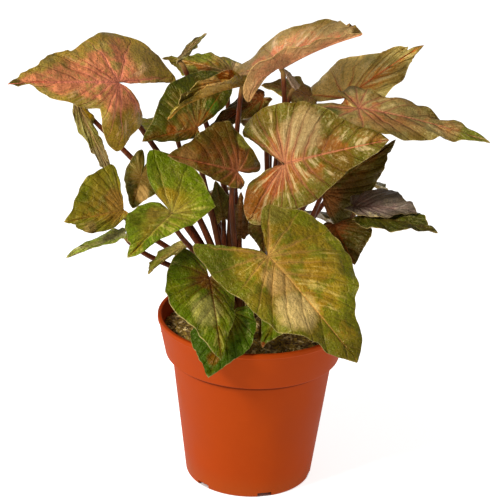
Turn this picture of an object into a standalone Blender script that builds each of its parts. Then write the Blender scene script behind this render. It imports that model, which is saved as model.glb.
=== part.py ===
"""An arrowhead plant (a pink-veined arrowhead vine) in its nursery pot. Metres, +Z up.

The origin is the middle of the pot's underside, on the surface that it stands on. -Y is the side that the
photograph shows. The pot's rim, 105 mm across, is the driving size. Each blade is drawn flat from a few
shares of its midrib, bent, and laid between the two points where its midrib starts and ends.
"""

import math
from dataclasses import dataclass

import bpy
import numpy as np

# Pot
RIM_RADIUS = 0.0525
POT_HEIGHT = 0.095
POT_WALL = 0.0014
LIP_HEIGHT = 0.003
LIP_WALL = 0.0022
LIP_STEP = 0.0006
LIP_ROUND = 0.0007
COLLAR_BOTTOM_Z = 0.0726
COLLAR_BOTTOM_RADIUS = 0.0478
COLLAR_ROUND = 0.0010
BODY_TOP_RADIUS = 0.0443
BODY_FILLET = 0.0007
BASE_RADIUS = 0.0351
BASE_ROUND = 0.0014
FOOT_HEIGHT = 0.003
FOOT_WIDTH = 0.0024
CENTRE_PAD_RADIUS = 0.010
POT_SIDES = 42
NOTCH_COUNT = 6
NOTCH_WIDTH = 0.008
NOTCH_HEIGHT = 0.0026
NOTCH_DEPTH = 0.008
NOTCH_FIRST = math.radians(-74.5)
DRAIN_RADIUS = 0.0035
DRAIN_CIRCLE = 0.021
DRAIN_SIDES = 12
CUT_PAST = 0.002  # how far a cutter runs past the face that it cuts

# Soil and clearances
GAP = 0.0003
SOIL_TOP = 0.0865
SOIL_ROUGH = 0.0011
SOIL_HEAVES = (260, 230)  # radians of heave for each metre along X and Y
SOIL_RINGS = 4
SOIL_SEED = 4

# Stems and leaf stalks
CANE_RADIUS = 0.0034
CANE_FOOT = 0.058
CANE_ABOVE = 0.003  # from the highest stalk's foot to the cane's top
CANE_TAPER = (1.0, 1.0, 0.9, 0.55)
CANE_SIDES = 10
STALK_FOOT_RADIUS = 0.0021
STALK_TOP_RADIUS = 0.0012
STALK_SIDES = 6
STALK_STEPS = 6
STALK_FOOT_RISE = 0.004
STALK_CLIMB = 0.06  # how far up the cane a stalk leaves it, as a share of its joint's height
STALK_UPRIGHT = 0.30  # how far it runs straight up first, as a share of its reach
STALK_LEAN = 0.12
STALK_SWEEP = 0.20
STALK_ARRIVAL = 0.012
STALK_NECK = 0.002

# Blades
BLADE_THICKNESS = 0.0008
FRONT_RAYS = 6
LOBE_RAYS = 6
BLADE_RINGS = (0.40, 0.72, 1.0)
RIB_FEET = 1.25  # above 1 it crowds the feet of the rays towards the tip
RIB_SPAN = (-2.0, 1.1)
STEEPEST_DROP = 1.4
HOOK_FROM = 0.72
WAVE_RISE = 1.6  # power of the distance from the midrib by which the waves grow
SHARP_EDGE = math.radians(40)

@dataclass(frozen=True)
class Half:
    """One half of a blade: lengths are shares of the midrib, angles are degrees."""

    width: float = 0.46  # across from the midrib at its widest
    belly: float = 0.12  # how far ahead of the joint that is
    lobe: tuple = (-0.40, 0.22)  # the basal lobe's tip, ahead of the joint and across from the midrib
    bulge: float = 0.12  # swelling of the lobe's outer margin, as a share of its run
    full: float = 0.12  # swelling of its inner margin
    blunt: float = 0.5  # 0 draws the tip out, 1 rounds it off
    fold: float = 10  # how steeply the half rises from the midrib
    curl: float = 20  # how far it turns down again by its margin
    drop: float = 15  # how far the lobe bends down by its tip


@dataclass(frozen=True)
class Leaf:
    """A blade and its stalk. joint and tip are where the midrib starts and ends."""

    stem: str
    tint: str
    joint: tuple
    tip: tuple
    roll: float = 0  # turns the blade round its midrib; positive lifts the left half
    left: Half = Half()
    right: Half = Half()
    arch: float = 15  # bend of the midrib from joint to tip
    hook: float = 0  # more bend in the last quarter
    twist: float = 0
    wave: float = 0.018  # height of the margin's waves, as a share of the midrib
    waves: float = 3.5
    phase: float = 0
    sway: tuple = (0, 0, 0)  # how far the stalk's middle bends aside


CANES = {
    "left": (-0.015, -0.003),
    "front_left": (-0.008, -0.016),
    "front": (0.006, -0.014),
    "right": (0.016, 0.000),
    "back_right": (0.007, 0.013),
    "back_left": (-0.008, 0.012),
}

LEAVES = {
    "leaf_01": Leaf(
        "left", "pink", (-0.074, -0.005, 0.226), (-0.127, -0.040, 0.234), roll=-62, arch=10, hook=20,
        left=Half(
            width=0.22, belly=0.20, lobe=(-0.06, 0.56), bulge=0.21, full=0.56, fold=-5, curl=10, blunt=-0.3,
        ),
        right=Half(
            width=0.285, belly=0.40, lobe=(-0.62, 0.06), bulge=0.34, full=0.04, fold=-5, drop=5, blunt=0.9,
        ),
        sway=(0, 0.012, 0),
    ),
    "leaf_02": Leaf(
        "left", "plum", (-0.099, 0.022, 0.206), (-0.077, 0.018, 0.160), roll=72, arch=10,
        left=Half(width=0.05, belly=0.50, lobe=(-0.05, 0.03), fold=3),
        right=Half(width=0.07, belly=0.50, lobe=(-0.05, 0.03), fold=3),
    ),
    "leaf_03": Leaf(
        "left", "olive", (-0.070, -0.020, 0.161), (-0.099, -0.040, 0.161), roll=-60, arch=10,
        left=Half(width=0.26, belly=0.55, lobe=(-0.05, 0.10), fold=-10),
        right=Half(width=0.62, belly=0.40, lobe=(0.02, 0.70), bulge=0.05, full=0.05, curl=10),
    ),
    "leaf_04": Leaf(
        "left", "green", (-0.069, -0.023, 0.149), (-0.099, -0.034, 0.139), roll=-8, arch=5,
        left=Half(width=0.12, lobe=(-0.12, 0.10)), right=Half(width=0.24, lobe=(-0.05, 0.12)),
    ),
    "leaf_05": Leaf(
        "front_left", "green", (-0.044, -0.035, 0.166), (-0.065, -0.060, 0.151), roll=-40,
        left=Half(
            width=0.38, belly=-0.55, lobe=(-0.63, -0.90), bulge=0.19, full=0.16, drop=-10, curl=1, fold=6,
        ),
        right=Half(width=0.44, belly=0.50, lobe=(0.02, 0.24), full=0.05),
    ),
    "leaf_06": Leaf(
        "left", "dark", (-0.062, -0.006, 0.175), (-0.066, -0.010, 0.158), roll=-20,
        left=Half(width=0.70, lobe=(-0.80, 0.30)), right=Half(width=0.55, belly=0.0, lobe=(-0.75, 0.25)),
    ),
    "leaf_07": Leaf(
        "front_left", "olive", (-0.039, -0.018, 0.141), (-0.057, -0.028, 0.129), roll=0,
        left=Half(width=0.10, lobe=(-0.15, 0.12)),
        right=Half(width=0.36, belly=0.4, lobe=(-0.15, 0.12), blunt=1.5),
    ),
    "leaf_08": Leaf(
        "front_left", "dark", (-0.024, -0.038, 0.132), (-0.016, -0.068, 0.099), roll=-10,
        left=Half(width=0.28, belly=0.25, lobe=(-0.02, 0.20)),
        right=Half(width=0.58, belly=0.18, lobe=(-0.38, 0.24)),
    ),
    "leaf_09": Leaf(
        "front_left", "dark", (-0.011, -0.038, 0.112), (-0.0225, -0.063, 0.086), roll=-10,
        left=Half(width=0.42, belly=0.35, lobe=(-0.15, 0.22), blunt=0.8),
        right=Half(width=0.46, belly=0.45, lobe=(-0.15, 0.22), blunt=0.8),
    ),
    "leaf_10": Leaf(
        "front", "dark", (0.016, -0.034, 0.116), (0.005, -0.052, 0.099), roll=0,
        left=Half(belly=0.25, lobe=(-0.20, 0.22)), right=Half(width=0.40, lobe=(-0.20, 0.22)),
    ),
    "leaf_11": Leaf(
        "front", "gold", (0.006, -0.067, 0.1575), (0.052, -0.099, 0.1155), roll=20, arch=10,
        left=Half(width=0.55, belly=0.22, lobe=(-0.33, 0.30), drop=5, blunt=0.8),
        right=Half(width=0.42, belly=0.25, lobe=(-0.37, 0.42), bulge=0.05, full=0.05, drop=5, blunt=0.8),
    ),
    "leaf_12": Leaf(
        "right", "rose", (0.013, -0.023, 0.191), (0.065, -0.038, 0.211), roll=60, arch=10,
        left=Half(width=0.56, belly=0.10, lobe=(-0.40, 0.42), full=0.02, drop=5),
        right=Half(width=0.46, belly=0.00, lobe=(-0.44, 0.45), full=0.30, drop=5),
    ),
    "leaf_13": Leaf(
        "back_right", "pink", (0.009, 0.002, 0.235), (0.050, -0.014, 0.259), roll=0,
        left=Half(
            width=0.43, belly=0.50, lobe=(-0.76, 0.42), bulge=0.14, fold=32, curl=5, drop=5, blunt=1.6,
        ),
        right=Half(width=0.22, belly=0.20, lobe=(-0.36, 0.26), fold=42, curl=5, drop=70),
    ),
    "leaf_14": Leaf(
        "back_right", "olive", (0.045, 0.025, 0.212), (0.085, 0.025, 0.243), roll=50,
        left=Half(width=0.19, belly=0.60, lobe=(-0.44, 0.42), bulge=0.14),
        right=Half(width=0.24, belly=0.48),
    ),
    "leaf_15": Leaf(
        "back_right", "pink", (0.051, 0.000, 0.215), (0.118, -0.025, 0.207), roll=20,
        left=Half(width=0.21, belly=0.05, lobe=(-0.26, 0.26)),
        right=Half(width=0.26, belly=0.30, lobe=(-0.48, 0.05)),
    ),
    "leaf_16": Leaf(
        "back_left", "plum", (-0.017, 0.042, 0.219), (-0.054, 0.038, 0.227), roll=-25,
        left=Half(width=0.35, belly=0.62, lobe=(-0.10, 0.12), blunt=1),
        right=Half(width=0.24, belly=0.30, lobe=(-0.35, 0.25)),
        sway=(0, 0.010, 0),
    ),
    "leaf_17": Leaf(
        "left", "dark", (-0.033, -0.006, 0.203), (-0.061, -0.016, 0.198), roll=-46,
        left=Half(width=0.18, belly=0.30, lobe=(0.0, 0.12)),
        right=Half(
            width=0.98, belly=0.05, lobe=(-1.00, 0.90), bulge=0.16, full=0.15, fold=0, curl=5, blunt=0.3,
        ),
    ),
    "leaf_18": Leaf(
        "left", "brown", (-0.010, 0.011, 0.2225), (-0.047, -0.036, 0.217), roll=-10, hook=30,
        left=Half(width=0.10, belly=0.30, lobe=(-0.06, 0.06), fold=70, curl=0),
        right=Half(width=0.11, belly=0.50, lobe=(-0.05, 0.06), fold=60, curl=0),
    ),
    "leaf_19": Leaf(
        "back_right", "brown", (0.001, 0.027, 0.2095), (-0.030, 0.0166, 0.1915), roll=-20,
        left=Half(width=0.16, belly=0.60, lobe=(-0.10, 0.10), blunt=1),
        right=Half(width=0.32, belly=0.12, lobe=(-0.05, 0.14)),
    ),
    "leaf_20": Leaf(
        "front_left", "brown", (-0.011, -0.018, 0.184), (-0.047, -0.028, 0.195), roll=-60,
        left=Half(width=0.24, belly=0.00, lobe=(-0.15, 0.20), bulge=0.1),
        right=Half(width=0.64, belly=0.24, lobe=(-0.34, 0.14), bulge=0.05),
    ),
    "leaf_21": Leaf(
        "right", "dark", (0.034, -0.006, 0.169), (0.072, 0.004, 0.197), roll=70,
        left=Half(width=0.15, lobe=(-0.10, 0.10)),
        right=Half(width=0.30, belly=0.40, lobe=(-0.08, 0.47), bulge=0.02, full=0.10, drop=0),
    ),
    "leaf_22": Leaf(
        "right", "plum", (0.050, -0.021, 0.168), (0.082, -0.035, 0.171), roll=10,
        left=Half(width=0.58, belly=0.30, lobe=(-0.10, 0.25), blunt=1),
        right=Half(width=0.32, belly=0.50, lobe=(-0.10, 0.12), blunt=1),
    ),
    "leaf_23": Leaf(
        "front", "dark", (0.040, -0.025, 0.159), (0.051, -0.045, 0.145), roll=35,
        left=Half(width=0.62, belly=0.50, lobe=(0.10, 0.40), blunt=1),
        right=Half(width=0.30, lobe=(-0.10, 0.15)),
    ),
    "leaf_24": Leaf(
        "front_left", "brown", (-0.009, -0.007, 0.143), (-0.009, -0.005, 0.168), arch=0,
        left=Half(width=0.26, belly=0.05, lobe=(-0.06, 0.12), fold=50),
        right=Half(width=0.26, belly=0.05, lobe=(-0.06, 0.12), fold=50),
    ),
    "leaf_25": Leaf(
        "left", "dark", (-0.018, 0.007, 0.148), (-0.023, 0.005, 0.170), arch=0,
        left=Half(width=0.36, lobe=(-0.15, 0.20)), right=Half(width=0.36, lobe=(-0.15, 0.20)),
    ),
    "leaf_26": Leaf("front", "green", (0.003, -0.018, 0.154), (0.004, -0.032, 0.144)),
    "leaf_27": Leaf(
        "back_left", "olive", (-0.045, 0.035, 0.186), (-0.074, 0.062, 0.184),
        left=Half(width=0.36, lobe=(-0.20, 0.22)), right=Half(width=0.36, lobe=(-0.20, 0.22)),
    ),
    "leaf_28": Leaf(
        "back_right", "rose", (0.006, 0.053, 0.186), (0.014, 0.097, 0.172),
        left=Half(lobe=(-0.20, 0.22)), right=Half(lobe=(-0.20, 0.22)),
    ),
    "leaf_29": Leaf(
        "back_right", "olive", (0.045, 0.040, 0.164), (0.074, 0.070, 0.142),
        left=Half(lobe=(-0.20, 0.22)), right=Half(lobe=(-0.20, 0.22)),
    ),
    "leaf_30": Leaf(
        "back_left", "gold", (-0.026, 0.045, 0.148), (-0.050, 0.080, 0.126),
        left=Half(lobe=(-0.20, 0.22)), right=Half(lobe=(-0.20, 0.22)),
    ),
    "leaf_31": Leaf(
        "back_right", "dark", (0.026, 0.045, 0.138), (0.044, 0.084, 0.116),
        left=Half(width=0.40, lobe=(-0.20, 0.22)), right=Half(lobe=(-0.20, 0.22)),
    ),
    "leaf_32": Leaf(
        "back_left", "olive", (-0.045, 0.024, 0.230), (-0.030, 0.026, 0.245), twist=120,
        left=Half(width=0.10, belly=0.50, lobe=(-0.08, 0.06)),
        right=Half(width=0.10, belly=0.50, lobe=(-0.08, 0.06)),
    ),
    "leaf_33": Leaf(
        "back_right", "dark", (0.026, 0.029, 0.211), (0.000, 0.019, 0.220), roll=-30,
        left=Half(width=0.50, lobe=(-0.12, 0.16)), right=Half(width=0.44, lobe=(-0.08, 0.14)),
    ),
    "leaf_34": Leaf(
        "right", "dark", (0.054, -0.027, 0.166), (0.092, -0.049, 0.166), roll=10,
        left=Half(width=0.32, belly=0.50, lobe=(-0.05, 0.15)),
        right=Half(width=0.30, belly=0.35, lobe=(-0.05, 0.15)),
    ),
    "leaf_35": Leaf(
        "back_right", "plum", (0.018, 0.012, 0.221), (0.011, 0.008, 0.233), arch=0,
        left=Half(width=0.24, lobe=(-0.05, 0.12), fold=50),
        right=Half(width=0.24, lobe=(-0.05, 0.12), fold=50),
    ),
}

TINTS = {
    "pink": (196, 120, 92),
    "rose": (176, 116, 78),
    "gold": (150, 128, 48),
    "olive": (128, 116, 44),
    "green": (122, 142, 48),
    "dark": (74, 72, 20),
    "brown": (120, 68, 28),
    "plum": (120, 96, 84),
}


def srgb(red, green, blue):
    """A linear colour from 8-bit values."""
    shares = (value / 255 for value in (red, green, blue))
    linear = [s / 12.92 if s <= 0.04045 else ((s + 0.055) / 1.055) ** 2.4 for s in shares]
    return (*linear, 1.0)


def make_material(name, colour, roughness):
    material = bpy.data.materials.new(name)
    material.use_nodes = True
    shader = material.node_tree.nodes["Principled BSDF"]
    shader.inputs["Base Color"].default_value = colour
    shader.inputs["Roughness"].default_value = roughness
    shader.inputs["Metallic"].default_value = 0.0
    return material


def link_mesh(name, points, faces, material=None):
    """A new object from points and faces, shaded smooth but for its sharp edges."""
    mesh = bpy.data.meshes.new(name)
    mesh.from_pydata([tuple(map(float, p)) for p in points], [], [tuple(map(int, f)) for f in faces])
    mesh.shade_smooth()
    mesh.set_sharp_from_angle(angle=SHARP_EDGE)
    if material:
        mesh.materials.append(material)
    obj = bpy.data.objects.new(name, mesh)
    bpy.context.scene.collection.objects.link(obj)
    return obj


def add_cutter(target, name, points, faces):
    """Cuts a closed mesh from target with a live Boolean, and hides the cutter."""
    cutter = link_mesh(name, points, faces)
    cutter.hide_render = True
    cutter.display_type = "WIRE"
    modifier = target.modifiers.new(name, "BOOLEAN")
    modifier.operation = "DIFFERENCE"
    modifier.object = cutter


def turned(profile, sides):
    """Points and faces of a profile of (radius, height) turned round Z. It runs up the outside, starts and
    ends on the axis, and so closes."""
    inner = [(r, z) for r, z in profile if r > 0]
    points = [(0.0, 0.0, profile[0][1])]
    for radius, height in inner:
        for side in range(sides):
            angle = math.tau * side / sides
            points.append((radius * math.cos(angle), radius * math.sin(angle), height))
    points.append((0.0, 0.0, profile[-1][1]))
    last = len(points) - 1
    faces = []
    for side in range(sides):
        after = (side + 1) % sides
        faces.append((0, 1 + after, 1 + side))
        for ring in range(len(inner) - 1):
            low, high = 1 + ring * sides, 1 + (ring + 1) * sides
            faces.append((low + side, low + after, high + after, high + side))
        top = last - sides
        faces.append((top + side, top + after, last))
    return points, faces


def cylinder(centre, radius, bottom, top, sides):
    x, y = centre
    points, faces = turned([(0, bottom), (radius, bottom), (radius, top), (0, top)], sides)
    return [(px + x, py + y, pz) for px, py, pz in points], faces


def box_at(angle, radius, length, width, bottom, top):
    """A box whose length runs outwards, centred at radius along angle."""
    corners = []
    for z in (bottom, top):
        for along, across in ((-1, -1), (1, -1), (1, 1), (-1, 1)):
            r, t = radius + along * length / 2, across * width / 2
            x = r * math.cos(angle) - t * math.sin(angle)
            y = r * math.sin(angle) + t * math.cos(angle)
            corners.append((x, y, z))
    faces = [(0, 3, 2, 1), (4, 5, 6, 7), (0, 1, 5, 4), (1, 2, 6, 5), (2, 3, 7, 6), (3, 0, 4, 7)]
    return corners, faces


def merged(shapes):
    """Several (points, faces) as one."""
    points, faces = [], []
    for shape_points, shape_faces in shapes:
        start = len(points)
        points += shape_points
        faces += [tuple(index + start for index in face) for face in shape_faces]
    return points, faces


def inner_wall():
    """The inside of the pot from the edge of its floor to its rim, as (radius, height)."""
    floor = FOOT_HEIGHT + POT_WALL
    slope = (BODY_TOP_RADIUS - BASE_RADIUS) / COLLAR_BOTTOM_Z
    ledge = COLLAR_BOTTOM_Z + POT_WALL
    return [
        (BASE_RADIUS + slope * floor - POT_WALL, floor),
        (BODY_TOP_RADIUS - POT_WALL, ledge),
        (COLLAR_BOTTOM_RADIUS - POT_WALL, ledge),
        (RIM_RADIUS - LIP_WALL - LIP_STEP, POT_HEIGHT - LIP_HEIGHT),
    ]


def make_pot(material):
    """The pot: a tapered body, a collar that flares to a lip, a foot ring with notches, and drain holes."""
    foot_inner = BASE_RADIUS - FOOT_WIDTH
    lip_bottom = POT_HEIGHT - LIP_HEIGHT
    profile = [
        (0, 0),
        (CENTRE_PAD_RADIUS, 0),
        (CENTRE_PAD_RADIUS, FOOT_HEIGHT),
        (foot_inner, FOOT_HEIGHT),
        (foot_inner, 0),
        (BASE_RADIUS - BASE_ROUND, 0),
        (BASE_RADIUS - 0.25 * BASE_ROUND, 0.35 * BASE_ROUND),
        (BASE_RADIUS, 1.3 * BASE_ROUND),
        (BODY_TOP_RADIUS, COLLAR_BOTTOM_Z - BODY_FILLET),
        (BODY_TOP_RADIUS + BODY_FILLET, COLLAR_BOTTOM_Z),
        (COLLAR_BOTTOM_RADIUS - COLLAR_ROUND, COLLAR_BOTTOM_Z),
        (COLLAR_BOTTOM_RADIUS, COLLAR_BOTTOM_Z + COLLAR_ROUND),
        (RIM_RADIUS - LIP_STEP, lip_bottom),
        (RIM_RADIUS, lip_bottom + LIP_STEP),
        (RIM_RADIUS, POT_HEIGHT - LIP_ROUND),
        (RIM_RADIUS - LIP_ROUND, POT_HEIGHT),
        (RIM_RADIUS - LIP_WALL + LIP_ROUND, POT_HEIGHT),
        (RIM_RADIUS - LIP_WALL, POT_HEIGHT - LIP_ROUND),
        *reversed(inner_wall()),
        (0, FOOT_HEIGHT + POT_WALL),
    ]
    pot = link_mesh("pot", *turned(profile, POT_SIDES), material)
    middle = BASE_RADIUS - FOOT_WIDTH / 2
    drain_top = FOOT_HEIGHT + POT_WALL + CUT_PAST
    notches, drains = [], []
    for index in range(NOTCH_COUNT):
        angle = NOTCH_FIRST + math.tau * index / NOTCH_COUNT
        notches.append(box_at(angle, middle, NOTCH_DEPTH, NOTCH_WIDTH, -CUT_PAST, NOTCH_HEIGHT))
        centre = (DRAIN_CIRCLE * math.cos(angle), DRAIN_CIRCLE * math.sin(angle))
        drains.append(cylinder(centre, DRAIN_RADIUS, -CUT_PAST, drain_top, DRAIN_SIDES))
    add_cutter(pot, "foot_notches", *merged(notches))
    add_cutter(pot, "drain_holes", *merged(drains))


def wall_radius_at(height):
    """Radius of the collar's inside at a height."""
    collar = inner_wall()[2:]
    return float(np.interp(height, [z for _, z in collar], [r for r, _ in collar]))


def make_soil(material):
    """Potting mix that fills the pot to just under the rim, with an uneven top and a hole for each cane."""
    rng = np.random.default_rng(SOIL_SEED)
    floor, ledge_low, ledge_high, _ = inner_wall()
    side = [(radius - GAP, height + GAP) for radius, height in (floor, ledge_low, ledge_high)]
    edge = wall_radius_at(SOIL_TOP) - GAP
    top = [(edge * ring / SOIL_RINGS, SOIL_TOP) for ring in range(SOIL_RINGS, -1, -1)]
    points, faces = turned([(0, side[0][1]), *side, *top], POT_SIDES)
    first_top = 1 + len(side) * POT_SIDES
    for index in range(first_top, len(points)):
        x, y, z = points[index]
        heave = math.sin(x * SOIL_HEAVES[0] + 1.3) * math.cos(y * SOIL_HEAVES[1] - 0.4)
        points[index] = (x, y, z + SOIL_ROUGH * (heave + rng.uniform(-0.5, 0.5)))
    soil = link_mesh("soil", points, faces, material)
    holes = [
        cylinder(place, CANE_RADIUS + GAP, CANE_FOOT - GAP, POT_HEIGHT, CANE_SIDES)
        for place in CANES.values()
    ]
    add_cutter(soil, "cane_holes", *merged(holes))


def curve_through(knots, count):
    """count points on a smooth curve through the knots, at even spacing along it."""
    knots = np.asarray(knots, float)
    ends = np.vstack([2 * knots[0] - knots[1], knots, 2 * knots[-1] - knots[-2]])
    u = np.linspace(0, len(knots) - 1, 200)
    start = np.minimum(u.astype(int), len(knots) - 2)
    t = (u - start)[:, None]
    a, b, c, d = (ends[start + step] for step in range(4))
    fine = (2 * b + (c - a) * t + (2 * a - 5 * b + 4 * c - d) * t**2 + (3 * (b - c) + d - a) * t**3) / 2
    run = np.concatenate([[0], np.cumsum(np.linalg.norm(np.diff(fine, axis=0), axis=1))])
    even = np.linspace(0, run[-1], count)
    return np.stack([np.interp(even, run, fine[:, axis]) for axis in range(fine.shape[1])], -1)


def outline_of(half, front_rays, lobe_rays):
    """The flat margin of one half, from the tip past its widest point and round the lobe to the sinus."""
    apex, widest = np.array(half.lobe), np.array([half.belly, half.width])
    run = apex - widest
    outer = widest + run / 2 + half.bulge * np.array([run[1], -run[0]])
    inner = half.full * np.array([-apex[1], apex[0]])
    ahead = 1 - half.belly
    front = [
        (1, 0),
        (0.93, (0.076 + 0.12 * half.blunt) * half.width),
        (0.84, (0.13 + 0.25 * half.blunt) * half.width),
        (half.belly + 0.64 * ahead, 0.42 * half.width),
        (half.belly + 0.42 * ahead, 0.72 * half.width),
        (half.belly + 0.20 * ahead, 0.93 * half.width),
        widest,
    ]
    lobe = [widest, outer, apex, 0.62 * apex + inner, 0.30 * apex + 0.7 * inner]
    return np.vstack([curve_through(front, front_rays + 1), curve_through(lobe, lobe_rays + 1)[1:]])


def flat_rays(half, front_rays, lobe_rays, rings):
    """Points (ray, ring, 2) of one half. A ray leaves the midrib ahead of the joint or the joint itself."""
    margin = outline_of(half, front_rays, lobe_rays)
    foot = np.zeros(len(margin))
    foot[: front_rays + 1] = (1 - np.arange(front_rays + 1) / front_rays) ** RIB_FEET
    feet = np.stack([foot, np.zeros_like(foot)], -1)
    reach = np.array([0.0, *rings])
    return feet[:, None] + (margin - feet)[:, None] * reach[None, :, None], reach


def smooth_step(low, high, x):
    t = np.clip((x - low) / (high - low), 0, 1)
    return t * t * (3 - 2 * t)


def midrib(leaf, half):
    """Where the bent midrib runs: its flat shares, and the forward run, fall and pitch at each."""
    along = np.linspace(*RIB_SPAN, 280)
    back = max(-half.lobe[0], 0.15)
    pitch = np.where(along < 0, math.radians(half.drop) * along / back, math.radians(leaf.arch) * along)
    pitch = np.maximum(pitch, -STEEPEST_DROP) + math.radians(leaf.hook) * smooth_step(HOOK_FROM, 1.0, along)
    step = along[1] - along[0]
    forward = np.concatenate([[0], np.cumsum((np.cos(pitch[1:]) + np.cos(pitch[:-1])) / 2 * step)])
    down = np.concatenate([[0], np.cumsum((np.sin(pitch[1:]) + np.sin(pitch[:-1])) / 2 * step)])
    return along, forward - np.interp(0, along, forward), down - np.interp(0, along, down), pitch


def bent(leaf, half, flat, reach, is_left):
    """Flat points bent: the midrib arches, the half folds and curls, its lobe drops, its margin waves."""
    x, y = flat[..., 0], flat[..., 1]
    along, forward, down, pitch = midrib(leaf, half)
    rib_x, rib_z = np.interp(x, along, forward), -np.interp(x, along, down)
    pitch = np.interp(x, along, pitch)
    fold = math.radians(half.fold)
    curl = math.radians(half.curl if abs(half.curl) > 0.01 else 0.01) / half.width
    across = (math.sin(fold) - np.sin(fold - curl * y)) / curl * (1 if is_left else -1)
    rise = (np.cos(fold - curl * y) - math.cos(fold)) / curl
    share = np.linspace(0, 1, len(flat))[:, None]
    calm = smooth_step(0.02, 0.15, share) * (1 - 0.6 * smooth_step(0.75, 1.0, share))
    turn = leaf.waves * share + leaf.phase + (0 if is_left else 0.31)
    rise = rise + leaf.wave * reach[None, :] ** WAVE_RISE * calm * np.sin(math.tau * turn)
    twist = math.radians(leaf.twist) * x
    across, rise = (
        across * np.cos(twist) - rise * np.sin(twist),
        across * np.sin(twist) + rise * np.cos(twist),
    )
    return np.stack([rib_x + rise * np.sin(pitch), across, rib_z + rise * np.cos(pitch)], -1)


def frame_towards(direction):
    """Columns forward, left and up of a blade that heads along direction, its face as level as can be."""
    forward = direction / np.linalg.norm(direction)
    level = np.array([0, 0, 1.0]) if abs(forward[2]) < 0.97 else np.array([0, 1.0, 0])
    up = level - forward * (level @ forward)
    up /= np.linalg.norm(up)
    return np.stack([forward, np.cross(up, forward), up], -1)


def placed(leaf, local_tip):
    """Scale and rotation from the blade's own frame to the plant's."""
    joint, tip = np.array(leaf.joint), np.array(leaf.tip)
    cosine, sine = math.cos(math.radians(leaf.roll)), math.sin(math.radians(leaf.roll))
    turn = np.array([[1, 0, 0], [0, cosine, -sine], [0, sine, cosine]])
    scale = np.linalg.norm(tip - joint) / np.linalg.norm(local_tip)
    return scale, frame_towards(tip - joint) @ turn @ frame_towards(local_tip).T


def blade_surface(leaf, front_rays, lobe_rays, rings):
    """The blade's upper face: points, triangles, the margin in order round it, and the joint's normal."""
    halves = []
    for half, is_left in ((leaf.left, True), (leaf.right, False)):
        flat, reach = flat_rays(half, front_rays, lobe_rays, rings)
        halves.append(bent(leaf, half, flat, reach, is_left))
    scale, rotation = placed(leaf, halves[0][0, 0])
    points, index = [], {}

    def at(side, ray, ring):
        if ray == 0:
            key = ("rib", 0)
        elif ring == 0:
            key = ("rib", min(ray, front_rays))
        else:
            key = (side, ray, ring)
        if key not in index:
            index[key] = len(points)
            points.append(rotation @ halves[side][ray, ring] * scale + leaf.joint)
        return index[key]

    last_ray, last_ring = front_rays + lobe_rays, len(rings)
    triangles = []
    for side in (0, 1):
        for ray in range(last_ray):
            for ring in range(last_ring):
                a, b = at(side, ray, ring), at(side, ray + 1, ring)
                c, d = at(side, ray + 1, ring + 1), at(side, ray, ring + 1)
                corners = [(a, d, c), (a, c, b)] if (ray + ring) % 2 else [(a, d, b), (b, d, c)]
                for triangle in corners:
                    if len(set(triangle)) == 3:
                        triangles.append(triangle if side == 0 else triangle[::-1])
    margin = [at(0, ray, last_ring) for ray in range(last_ray + 1)]
    margin += [at(0, last_ray, ring) for ring in range(last_ring - 1, -1, -1)]
    margin += [at(1, last_ray, ring) for ring in range(1, last_ring + 1)]
    margin += [at(1, ray, last_ring) for ray in range(last_ray - 1, 0, -1)]
    return np.array(points), np.array(triangles), margin, rotation[:, 2]


def point_normals(points, triangles):
    corners = points[triangles]
    facing = np.cross(corners[:, 1] - corners[:, 0], corners[:, 2] - corners[:, 0])
    normals = np.zeros_like(points)
    for corner in range(3):
        np.add.at(normals, triangles[:, corner], facing)
    return normals / np.linalg.norm(normals, axis=1)[:, None]


def make_blade(name, leaf, material):
    """The blade as one thin closed solid, split alike on both faces."""
    points, triangles, margin, _ = blade_surface(leaf, FRONT_RAYS, LOBE_RAYS, BLADE_RINGS)
    under = points - point_normals(points, triangles) * BLADE_THICKNESS
    count = len(points)
    faces = [tuple(t) for t in triangles] + [tuple(t[::-1] + count) for t in triangles]
    for here, after in zip(margin, margin[1:] + margin[:1]):
        faces += [(here, here + count, after + count), (here, after + count, after)]
    link_mesh(name, np.vstack([points, under]), faces, material)


def stalk_path(leaf):
    """Points along a leaf stalk, from inside its cane to just under the blade's joint."""
    x, y = CANES[leaf.stem]
    joint, sway = np.array(leaf.joint), np.array(leaf.sway)
    _, _, _, normal = blade_surface(leaf, FRONT_RAYS, LOBE_RAYS, BLADE_RINGS)
    drop = max(0.0, -math.radians(min(leaf.left.fold, leaf.right.fold)))
    end = joint - normal * (BLADE_THICKNESS + GAP + STALK_TOP_RADIUS * math.tan(drop))
    start = np.array([x, y, SOIL_TOP + STALK_FOOT_RISE + STALK_CLIMB * (joint[2] - SOIL_TOP)])
    reach = np.linalg.norm(end - start)
    rising = start + (0, 0, STALK_UPRIGHT * reach) + STALK_LEAN * (end - start) + sway
    arriving = end - normal * min(STALK_ARRIVAL, 0.3 * reach) - STALK_SWEEP * (end - start) + sway
    neck = end - normal * STALK_NECK
    t = np.linspace(0, 1, STALK_STEPS)[:, None]
    rest = 1 - t
    curve = rest**3 * start + 3 * rest**2 * t * rising + 3 * rest * t**2 * arriving + t**3 * neck
    return np.vstack([curve, end])


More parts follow.
